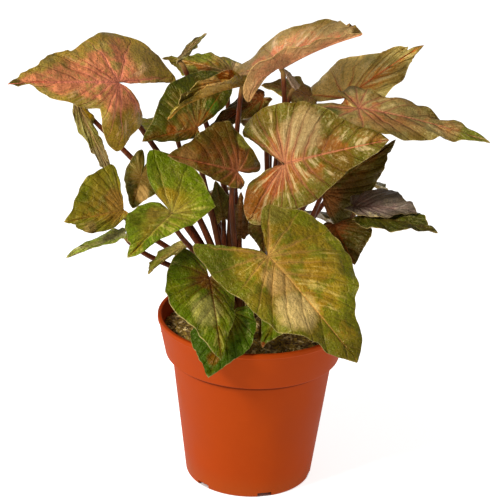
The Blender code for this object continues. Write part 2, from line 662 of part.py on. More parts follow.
def tube(path, radii, sides):
    """Points and faces of a round tube along a path, with flat ends and no twist along it."""
    path = np.asarray(path)
    heading = np.gradient(path, axis=0)
    heading /= np.linalg.norm(heading, axis=1)[:, None]
    side = np.cross(heading[0], (0.3, 0.9, 0.2))
    points = []
    for centre, forward, radius in zip(path, heading, radii):
        side = side - forward * (side @ forward)
        side /= np.linalg.norm(side)
        other = np.cross(forward, side)
        for index in range(sides):
            angle = math.tau * index / sides
            points.append(centre + radius * (math.cos(angle) * side + math.sin(angle) * other))
    faces = [tuple(range(sides))[::-1], tuple(range(len(points) - sides, len(points)))]
    for ring in range(len(path) - 1):
        for index in range(sides):
            after = (index + 1) % sides
            low, high = ring * sides, (ring + 1) * sides
            faces.append((low + index, low + after, high + after, high + index))
    return points, faces


def joined(name, parts, material):
    """One Boolean union of several objects, which it replaces."""
    group = bpy.data.collections.new(name)
    bpy.context.scene.collection.children.link(group)
    first, *others = parts
    for obj in others:
        bpy.context.scene.collection.objects.unlink(obj)
        group.objects.link(obj)
    modifier = first.modifiers.new("union", "BOOLEAN")
    modifier.operation = "UNION"
    modifier.operand_type = "COLLECTION"
    modifier.collection = group
    modifier.solver = "EXACT"
    evaluated = first.evaluated_get(bpy.context.evaluated_depsgraph_get())
    mesh = bpy.data.meshes.new_from_object(evaluated)
    for obj in parts:
        bpy.data.objects.remove(obj, do_unlink=True)
    bpy.data.collections.remove(group)
    mesh.materials.clear()
    mesh.materials.append(material)
    mesh.shade_smooth()
    mesh.set_sharp_from_angle(angle=SHARP_EDGE)
    bpy.context.scene.collection.objects.link(bpy.data.objects.new(name, mesh))


def make_stem(place, material):
    """A short cane standing in the soil, with the stalks that grow from it."""
    leaves = [leaf for leaf in LEAVES.values() if leaf.stem == place]
    x, y = CANES[place]
    top = max(stalk_path(leaf)[0][2] for leaf in leaves) + CANE_ABOVE
    levels = (CANE_FOOT, SOIL_TOP, (SOIL_TOP + top) / 2, top)
    radii = [CANE_RADIUS * share for share in CANE_TAPER]
    parts = [link_mesh("cane", *tube([(x, y, z) for z in levels], radii, CANE_SIDES))]
    radii = np.linspace(STALK_FOOT_RADIUS, STALK_TOP_RADIUS, STALK_STEPS + 1)
    for leaf in leaves:
        parts.append(link_mesh("stalk", *tube(stalk_path(leaf), radii, STALK_SIDES)))
    joined(f"stem_{place}", parts, material)


def clear_scene():
    for obj in list(bpy.data.objects):
        bpy.data.objects.remove(obj, do_unlink=True)


def main():
    clear_scene()
    make_pot(make_material("terracotta plastic", srgb(190, 74, 30), 0.45))
    make_soil(make_material("potting mix", srgb(58, 40, 28), 0.95))
    stalk = make_material("maroon stalk", srgb(70, 24, 22), 0.5)
    for place in CANES:
        make_stem(place, stalk)
    tints = {tint: make_material(f"{tint} blade", srgb(*colour), 0.45) for tint, colour in TINTS.items()}
    for name, leaf in LEAVES.items():
        make_blade(name, leaf, tints[leaf.tint])


main()
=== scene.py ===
"""The looks of an arrowhead plant in its nursery pot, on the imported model. Metres, +Z up.

Each blade, stem, the pot and the potting mix get a finer piece of the same form. A blade is drawn from the
same shares of its midrib as its solid, with veins, quilting and a fine ruffle added. LOOKS holds its tones.
"""

import math
from dataclasses import dataclass

import bpy
import numpy as np
from mathutils import Matrix, Vector, noise

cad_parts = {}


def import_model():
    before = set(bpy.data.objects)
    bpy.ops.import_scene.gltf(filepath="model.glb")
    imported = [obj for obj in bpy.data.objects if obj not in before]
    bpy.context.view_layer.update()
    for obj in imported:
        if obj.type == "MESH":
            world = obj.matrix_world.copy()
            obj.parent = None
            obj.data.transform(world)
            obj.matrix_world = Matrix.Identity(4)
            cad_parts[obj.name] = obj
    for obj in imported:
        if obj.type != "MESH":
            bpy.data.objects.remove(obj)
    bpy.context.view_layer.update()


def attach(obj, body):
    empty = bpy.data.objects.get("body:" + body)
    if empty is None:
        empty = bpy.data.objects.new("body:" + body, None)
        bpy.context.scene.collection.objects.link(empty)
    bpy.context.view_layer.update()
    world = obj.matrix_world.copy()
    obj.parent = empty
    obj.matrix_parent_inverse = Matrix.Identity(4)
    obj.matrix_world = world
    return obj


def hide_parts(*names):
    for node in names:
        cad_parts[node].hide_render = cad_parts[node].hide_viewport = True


BODY = "root"

# Camera, where the photograph was taken from
AIM = (-0.0032, 0.0, 0.1325)
DISTANCE = 1.0
ELEVATION = math.radians(22.46)
CAMERA_ROLL = math.radians(1.97)
LENS = 133.4
NEAREST = 0.05

# Pot
RIM_RADIUS = 0.0525
POT_HEIGHT = 0.095
POT_WALL = 0.0014
LIP_HEIGHT = 0.003
LIP_WALL = 0.0022
LIP_STEP = 0.0006
LIP_ROUND = 0.0007
COLLAR_BOTTOM_Z = 0.0726
COLLAR_BOTTOM_RADIUS = 0.0478
COLLAR_ROUND = 0.0010
BODY_TOP_RADIUS = 0.0443
BODY_FILLET = 0.0007
BASE_RADIUS = 0.0351
BASE_ROUND = 0.0014
FOOT_HEIGHT = 0.003
FOOT_WIDTH = 0.0024
CENTRE_PAD_RADIUS = 0.010
POT_SIDES = 192
ARC_STEPS = 5
NOTCH_COUNT = 6
NOTCH_WIDTH = 0.008
NOTCH_HEIGHT = 0.0026
NOTCH_DEPTH = 0.008
NOTCH_FIRST = math.radians(-74.5)
DRAIN_RADIUS = 0.0035
DRAIN_CIRCLE = 0.021
DRAIN_SIDES = 40
CUT_PAST = 0.002
OVER_NOTCH = 0.001  # where the rounded foot goes over into the body, above the notches
POT_SHARP = 50  # angle in degrees from which an edge of the pot is sharp
BODY_SLOPE = (BODY_TOP_RADIUS - BASE_RADIUS) / COLLAR_BOTTOM_Z
COLLAR_SHADE_Z = COLLAR_BOTTOM_Z - 0.0014  # height of the painted shade line under the collar

# Potting mix
GAP = 0.0003
SOIL_TOP = 0.0865
SOIL_ROUGH = 0.0011
SOIL_HEAVES = (260, 230)
SOIL_RINGS = 48
SOIL_LUMPS = 0.0009
GRAIN_SINK = 0.0004
GRAIN_LUMPS = 700.0  # scale of the noise that makes a grain lumpy
GRAINS = {  # material, smallest and largest length, width as a share of it, how many on a square metre, seed
    "crumb": ("dark crumb", 0.0011, 0.0032, 0.9, 190000, 3),
    "bark": ("bark chip", 0.0028, 0.0072, 0.3, 150000, 8),
    "perlite": ("perlite", 0.0010, 0.0024, 0.9, 5000, 5),
}

# Stems and leaf stalks
CANE_RADIUS = 0.0034
CANE_FOOT = 0.058
CANE_ABOVE = 0.003
CANE_TAPER = (1.0, 1.0, 0.9, 0.55)
CANE_SIDES = 20
CANE_LEVELS = 31
STALK_FOOT_RADIUS = 0.0021
STALK_TOP_RADIUS = 0.0012
STALK_TIP_RADIUS = 0.0006
STALK_SIDES = 14
STALK_STEPS = 40
STALK_FOOT_RISE = 0.004
STALK_CLIMB = 0.06
STALK_UPRIGHT = 0.30
STALK_LEAN = 0.12
STALK_SWEEP = 0.20
STALK_ARRIVAL = 0.012
STALK_NECK = 0.002

# Blades
BLADE_THICKNESS = 0.0008
FLESH_THICKNESS = 0.0006
MARGIN_THICKNESS = 0.00032
RIB_FEET = 1.9  # above 1 it crowds the feet of the side veins towards the tip
RIB_SPAN = (-2.0, 1.1)
STEEPEST_DROP = 1.4
HOOK_FROM = 0.72
WAVE_RISE = 1.6
FINE_GRID = (66, 48, 28)  # front rays, lobe rays and rings of a large blade
SMALL_GRID = (40, 28, 18)
LARGE_BLADE = 0.036  # length of midrib from which a blade gets the fine grid
RING_CROWDING = 1.35  # above 1 it crowds the rings towards the midrib
VEIN_BOW = 0.06  # how far side veins curve back, as a share of their length
FRONT_VEINS = 6
LOBE_RIB = FRONT_VEINS + 2.5  # the lobe's own rib, counted in side veins from the tip
LAST_VEIN = FRONT_VEINS + 4
QUILT = 0.0005  # rise of the blade between two side veins
QUILT_SPAN = 0.007  # distance between side veins from which that rise is full
RUFFLE = 0.011  # height of the fine ruffle at the margin, as a share of the midrib
NIBBLE = 0.016  # how far the margin draws in here and there, as a share of the midrib
RUFFLES = (4, 8)  # fewest and most ruffles round a half
RIB_GROOVE = 0.0003
CRUMPLE = 0.0018  # height of the broad unevenness of a blade
CRUMPLE_SCALES = ((60, 1.0), (150, 0.5), (330, 0.22))  # waves a metre, and share of that height
RIB_RIDGE = 0.0009
RIB_HALF = 0.0007  # half the midrib's width at the joint
LOBE_RIB_SHARE = 0.6
CURVE_SAMPLES = 600
MIDRIB_SAMPLES = 280
PATTERN_SHIFT = 900  # no two blades show the same stretch of the patterns, in mm
FIRST_BLADE_SEED = 100

# Floor, lights and sky
FLOOR_HALF = 6
FLOOR_GLOW = 0.8
SKY = 0.28
LIGHT_AIM = (0, 0, 0.13)
LIGHTS = {  # place, size, power and colour
    "key": ((-0.95, -0.72, 1.05), 0.4, 21.5, (1.0, 0.985, 0.95)),
    "fill": ((1.1, -0.6, 0.6), 0.9, 0.6, (1, 1, 1)),
}

# Tones of all but the blades, as 8-bit values
TERRACOTTA, TERRACOTTA_DEEP = (166, 62, 10), (150, 52, 6)
# the third tone is painted shade, a dark line under the collar's ledge
SCUFF, DUST, COLLAR_SHADE = (192, 84, 26), (152, 76, 30), (84, 22, 2)
STALK_RED, STALK_DARK = (108, 48, 22), (62, 20, 8)
STALK_FOOT_TONE, STALK_NECK_TONE = (112, 84, 20), (168, 132, 72)
EARTHS = {  # dark and light tone, scale of the pattern, roughness
    "potting mix": ((72, 52, 14), (166, 134, 50), 300.0, 0.95),
    "dark crumb": ((64, 46, 12), (184, 150, 64), 160.0, 0.95),
    "bark chip": ((84, 52, 18), (246, 218, 150), 110.0, 0.85),
    "perlite": ((176, 164, 140), (214, 206, 188), 400.0, 0.9),
}


@dataclass(frozen=True)
class Half:
    """One half of a blade: lengths are shares of the midrib, angles are degrees."""

    width: float = 0.46  # across from the midrib at its widest
    belly: float = 0.12  # how far ahead of the joint that is
    lobe: tuple = (-0.40, 0.22)  # the basal lobe's tip, ahead of the joint and across from the midrib
    bulge: float = 0.12  # swelling of the lobe's outer margin, as a share of its run
    full: float = 0.12  # swelling of its inner margin
    blunt: float = 0.5  # 0 draws the tip out, 1 rounds it off
    fold: float = 10  # how steeply the half rises from the midrib
    curl: float = 20  # how far it turns down again by its margin
    drop: float = 15  # how far the lobe bends down by its tip


@dataclass(frozen=True)
class Leaf:
    """A blade and its stalk. joint and tip are where the midrib starts and ends."""

    stem: str
    tint: str
    joint: tuple
    tip: tuple
    roll: float = 0  # turns the blade round its midrib; positive lifts the left half
    left: Half = Half()
    right: Half = Half()
    arch: float = 15  # bend of the midrib from joint to tip
    hook: float = 0  # more bend in the last quarter
    twist: float = 0
    wave: float = 0.018  # height of the margin's waves, as a share of the midrib
    waves: float = 3.5
    phase: float = 0
    sway: tuple = (0, 0, 0)  # how far the stalk's middle bends aside


def both(**shape):
    """Two halves of the same shape."""
    return {"left": Half(**shape), "right": Half(**shape)}


CANES = {
    "left": (-0.015, -0.003),
    "front_left": (-0.008, -0.016),
    "front": (0.006, -0.014),
    "right": (0.016, 0.000),
    "back_right": (0.007, 0.013),
    "back_left": (-0.008, 0.012),
}

LEAVES = {
    "leaf_01": Leaf(
        "left", "pink", (-0.074, -0.005, 0.226), (-0.127, -0.040, 0.234), roll=-62, arch=10, hook=20,
        left=Half(
            width=0.22, belly=0.20, lobe=(-0.06, 0.56), bulge=0.21, full=0.56, fold=-5, curl=10, blunt=-0.3,
        ),
        right=Half(
            width=0.285, belly=0.40, lobe=(-0.62, 0.06), bulge=0.34, full=0.04, fold=-5, drop=5, blunt=0.9,
        ),
        sway=(0, 0.012, 0),
    ),
    "leaf_02": Leaf(
        "left", "plum", (-0.099, 0.022, 0.206), (-0.077, 0.018, 0.160), roll=72, arch=10,
        left=Half(width=0.05, belly=0.50, lobe=(-0.05, 0.03), fold=3),
        right=Half(width=0.07, belly=0.50, lobe=(-0.05, 0.03), fold=3),
    ),
    "leaf_03": Leaf(
        "left", "olive", (-0.070, -0.020, 0.161), (-0.099, -0.040, 0.161), roll=-60, arch=10,
        left=Half(width=0.26, belly=0.55, lobe=(-0.05, 0.10), fold=-10),
        right=Half(width=0.62, belly=0.40, lobe=(0.02, 0.70), bulge=0.05, full=0.05, curl=10),
    ),
    "leaf_04": Leaf(
        "left", "green", (-0.069, -0.023, 0.149), (-0.099, -0.034, 0.139), roll=-8, arch=5,
        left=Half(width=0.12, lobe=(-0.12, 0.10)), right=Half(width=0.24, lobe=(-0.05, 0.12)),
    ),
    "leaf_05": Leaf(
        "front_left", "green", (-0.044, -0.035, 0.166), (-0.065, -0.060, 0.151), roll=-40,
        left=Half(
            width=0.38, belly=-0.55, lobe=(-0.63, -0.90), bulge=0.19, full=0.16, drop=-10, curl=1, fold=6,
        ),
        right=Half(width=0.44, belly=0.50, lobe=(0.02, 0.24), full=0.05),
    ),
    "leaf_06": Leaf(
        "left", "dark", (-0.062, -0.006, 0.175), (-0.066, -0.010, 0.158), roll=-20,
        left=Half(width=0.70, lobe=(-0.80, 0.30)), right=Half(width=0.55, belly=0.0, lobe=(-0.75, 0.25)),
    ),
    "leaf_07": Leaf(
        "front_left", "olive", (-0.039, -0.018, 0.141), (-0.057, -0.028, 0.129), roll=0,
        left=Half(width=0.10, lobe=(-0.15, 0.12)),
        right=Half(width=0.36, belly=0.4, lobe=(-0.15, 0.12), blunt=1.5),
    ),
    "leaf_08": Leaf(
        "front_left", "dark", (-0.024, -0.038, 0.132), (-0.016, -0.068, 0.099), roll=-10,
        left=Half(width=0.28, belly=0.25, lobe=(-0.02, 0.20)),
        right=Half(width=0.58, belly=0.18, lobe=(-0.38, 0.24)),
    ),
    "leaf_09": Leaf(
        "front_left", "dark", (-0.011, -0.038, 0.112), (-0.0225, -0.063, 0.086), roll=-10,
        left=Half(width=0.42, belly=0.35, lobe=(-0.15, 0.22), blunt=0.8),
        right=Half(width=0.46, belly=0.45, lobe=(-0.15, 0.22), blunt=0.8),
    ),
    "leaf_10": Leaf(
        "front", "dark", (0.016, -0.034, 0.116), (0.005, -0.052, 0.099), roll=0,
        left=Half(belly=0.25, lobe=(-0.20, 0.22)), right=Half(width=0.40, lobe=(-0.20, 0.22)),
    ),
    "leaf_11": Leaf(
        "front", "gold", (0.006, -0.067, 0.1575), (0.052, -0.099, 0.1155), roll=20, arch=10,
        left=Half(width=0.55, belly=0.22, lobe=(-0.33, 0.30), drop=5, blunt=0.8),
        right=Half(width=0.42, belly=0.25, lobe=(-0.37, 0.42), bulge=0.05, full=0.05, drop=5, blunt=0.8),
    ),
    "leaf_12": Leaf(
        "right", "rose", (0.013, -0.023, 0.191), (0.065, -0.038, 0.211), roll=60, arch=10,
        left=Half(width=0.56, belly=0.10, lobe=(-0.40, 0.42), full=0.02, drop=5),
        right=Half(width=0.46, belly=0.00, lobe=(-0.44, 0.45), full=0.30, drop=5),
    ),
    "leaf_13": Leaf(
        "back_right", "pink", (0.009, 0.002, 0.235), (0.050, -0.014, 0.259), roll=0,
        left=Half(
            width=0.43, belly=0.50, lobe=(-0.76, 0.42), bulge=0.14, fold=32, curl=5, drop=5, blunt=1.6,
        ),
        right=Half(width=0.22, belly=0.20, lobe=(-0.36, 0.26), fold=42, curl=5, drop=70),
    ),
    "leaf_14": Leaf(
        "back_right", "olive", (0.045, 0.025, 0.212), (0.085, 0.025, 0.243), roll=50,
        left=Half(width=0.19, belly=0.60, lobe=(-0.44, 0.42), bulge=0.14),
        right=Half(width=0.24, belly=0.48),
    ),
    "leaf_15": Leaf(
        "back_right", "pink", (0.051, 0.000, 0.215), (0.118, -0.025, 0.207), roll=20,
        left=Half(width=0.21, belly=0.05, lobe=(-0.26, 0.26)),
        right=Half(width=0.26, belly=0.30, lobe=(-0.48, 0.05)),
    ),
    "leaf_16": Leaf(
        "back_left", "plum", (-0.017, 0.042, 0.219), (-0.054, 0.038, 0.227), roll=-25,
        left=Half(width=0.35, belly=0.62, lobe=(-0.10, 0.12), blunt=1),
        right=Half(width=0.24, belly=0.30, lobe=(-0.35, 0.25)),
        sway=(0, 0.010, 0),
    ),
    "leaf_17": Leaf(
        "left", "dark", (-0.033, -0.006, 0.203), (-0.061, -0.016, 0.198), roll=-46,
        left=Half(width=0.18, belly=0.30, lobe=(0.0, 0.12)),
        right=Half(
            width=0.98, belly=0.05, lobe=(-1.00, 0.90), bulge=0.16, full=0.15, fold=0, curl=5, blunt=0.3,
        ),
    ),
    "leaf_18": Leaf(
        "left", "brown", (-0.010, 0.011, 0.2225), (-0.047, -0.036, 0.217), roll=-10, hook=30,
        left=Half(width=0.10, belly=0.30, lobe=(-0.06, 0.06), fold=70, curl=0),
        right=Half(width=0.11, belly=0.50, lobe=(-0.05, 0.06), fold=60, curl=0),
    ),
    "leaf_19": Leaf(
        "back_right", "brown", (0.001, 0.027, 0.2095), (-0.030, 0.0166, 0.1915), roll=-20,
        left=Half(width=0.16, belly=0.60, lobe=(-0.10, 0.10), blunt=1),
        right=Half(width=0.32, belly=0.12, lobe=(-0.05, 0.14)),
    ),
    "leaf_20": Leaf(
        "front_left", "brown", (-0.011, -0.018, 0.184), (-0.047, -0.028, 0.195), roll=-60,
        left=Half(width=0.24, belly=0.00, lobe=(-0.15, 0.20), bulge=0.1),
        right=Half(width=0.64, belly=0.24, lobe=(-0.34, 0.14), bulge=0.05),
    ),
    "leaf_21": Leaf(
        "right", "dark", (0.034, -0.006, 0.169), (0.072, 0.004, 0.197), roll=70,
        left=Half(width=0.15, lobe=(-0.10, 0.10)),
        right=Half(width=0.30, belly=0.40, lobe=(-0.08, 0.47), bulge=0.02, full=0.10, drop=0),
    ),
    "leaf_22": Leaf(
        "right", "plum", (0.050, -0.021, 0.168), (0.082, -0.035, 0.171), roll=10,
        left=Half(width=0.58, belly=0.30, lobe=(-0.10, 0.25), blunt=1),
        right=Half(width=0.32, belly=0.50, lobe=(-0.10, 0.12), blunt=1),
    ),
    "leaf_23": Leaf(
        "front", "dark", (0.040, -0.025, 0.159), (0.051, -0.045, 0.145), roll=35,
        left=Half(width=0.62, belly=0.50, lobe=(0.10, 0.40), blunt=1),
        right=Half(width=0.30, lobe=(-0.10, 0.15)),
    ),
    "leaf_24": Leaf(
        "front_left", "brown", (-0.009, -0.007, 0.143), (-0.009, -0.005, 0.168), arch=0,
        **both(width=0.26, belly=0.05, lobe=(-0.06, 0.12), fold=50),
    ),
    "leaf_25": Leaf(
        "left", "dark", (-0.018, 0.007, 0.148), (-0.023, 0.005, 0.170), arch=0,
        **both(width=0.36, lobe=(-0.15, 0.20)),
    ),
    "leaf_26": Leaf("front", "green", (0.003, -0.018, 0.154), (0.004, -0.032, 0.144)),
    "leaf_27": Leaf(
        "back_left", "olive", (-0.045, 0.035, 0.186), (-0.074, 0.062, 0.184),
        **both(width=0.36, lobe=(-0.20, 0.22)),
    ),
    "leaf_28": Leaf(
        "back_right", "rose", (0.006, 0.053, 0.186), (0.014, 0.097, 0.172),
        **both(lobe=(-0.20, 0.22)),
    ),
    "leaf_29": Leaf(
        "back_right", "olive", (0.045, 0.040, 0.164), (0.074, 0.070, 0.142),
        **both(lobe=(-0.20, 0.22)),
    ),
    "leaf_30": Leaf(
        "back_left", "gold", (-0.026, 0.045, 0.148), (-0.050, 0.080, 0.126),
        **both(lobe=(-0.20, 0.22)),
    ),
    "leaf_31": Leaf(
        "back_right", "dark", (0.026, 0.045, 0.138), (0.044, 0.084, 0.116),
        left=Half(width=0.40, lobe=(-0.20, 0.22)), right=Half(lobe=(-0.20, 0.22)),
    ),
    "leaf_32": Leaf(
        "back_left", "olive", (-0.045, 0.024, 0.230), (-0.030, 0.026, 0.245), twist=120,
        **both(width=0.10, belly=0.50, lobe=(-0.08, 0.06)),
    ),
    "leaf_33": Leaf(
        "back_right", "dark", (0.026, 0.029, 0.211), (0.000, 0.019, 0.220), roll=-30,
        left=Half(width=0.50, lobe=(-0.12, 0.16)), right=Half(width=0.44, lobe=(-0.08, 0.14)),
    ),
    "leaf_34": Leaf(
        "right", "dark", (0.054, -0.027, 0.166), (0.092, -0.049, 0.166), roll=10,
        left=Half(width=0.32, belly=0.50, lobe=(-0.05, 0.15)),
        right=Half(width=0.30, belly=0.35, lobe=(-0.05, 0.15)),
    ),
    "leaf_35": Leaf(
        "back_right", "plum", (0.018, 0.012, 0.221), (0.011, 0.008, 0.233), arch=0,
        **both(width=0.24, lobe=(-0.05, 0.12), fold=50),
    ),
}


@dataclass(frozen=True)
class Look:
    """A blade's colours as 8-bit values, and how they spread over it."""

    flesh: tuple  # between the veins
    centre: tuple  # round the joint and along the midrib
    edge: tuple  # towards the margin
    vein: tuple
    fleck: tuple  # blotches
    painted_sheen: tuple  # painted sheen: pale streaks on the crests between the side veins
    below: tuple = (128, 104, 56)
    spread: float = 0.4  # how far the centre's colour reaches, as a share of the way to the margin
    blotches: float = 0.5
    veining: float = 0.8
    shine: float = 0.5  # how many streaks of painted sheen and painted glints there are
    light: float = 1.0  # makes the whole blade paler or darker
    relief: float = 0.3  # how deep the grooves over the side veins are
    ruffle: float = 1.0
    spots: tuple = ()  # (ahead of the joint, to the left, radius, colour), in shares of the midrib


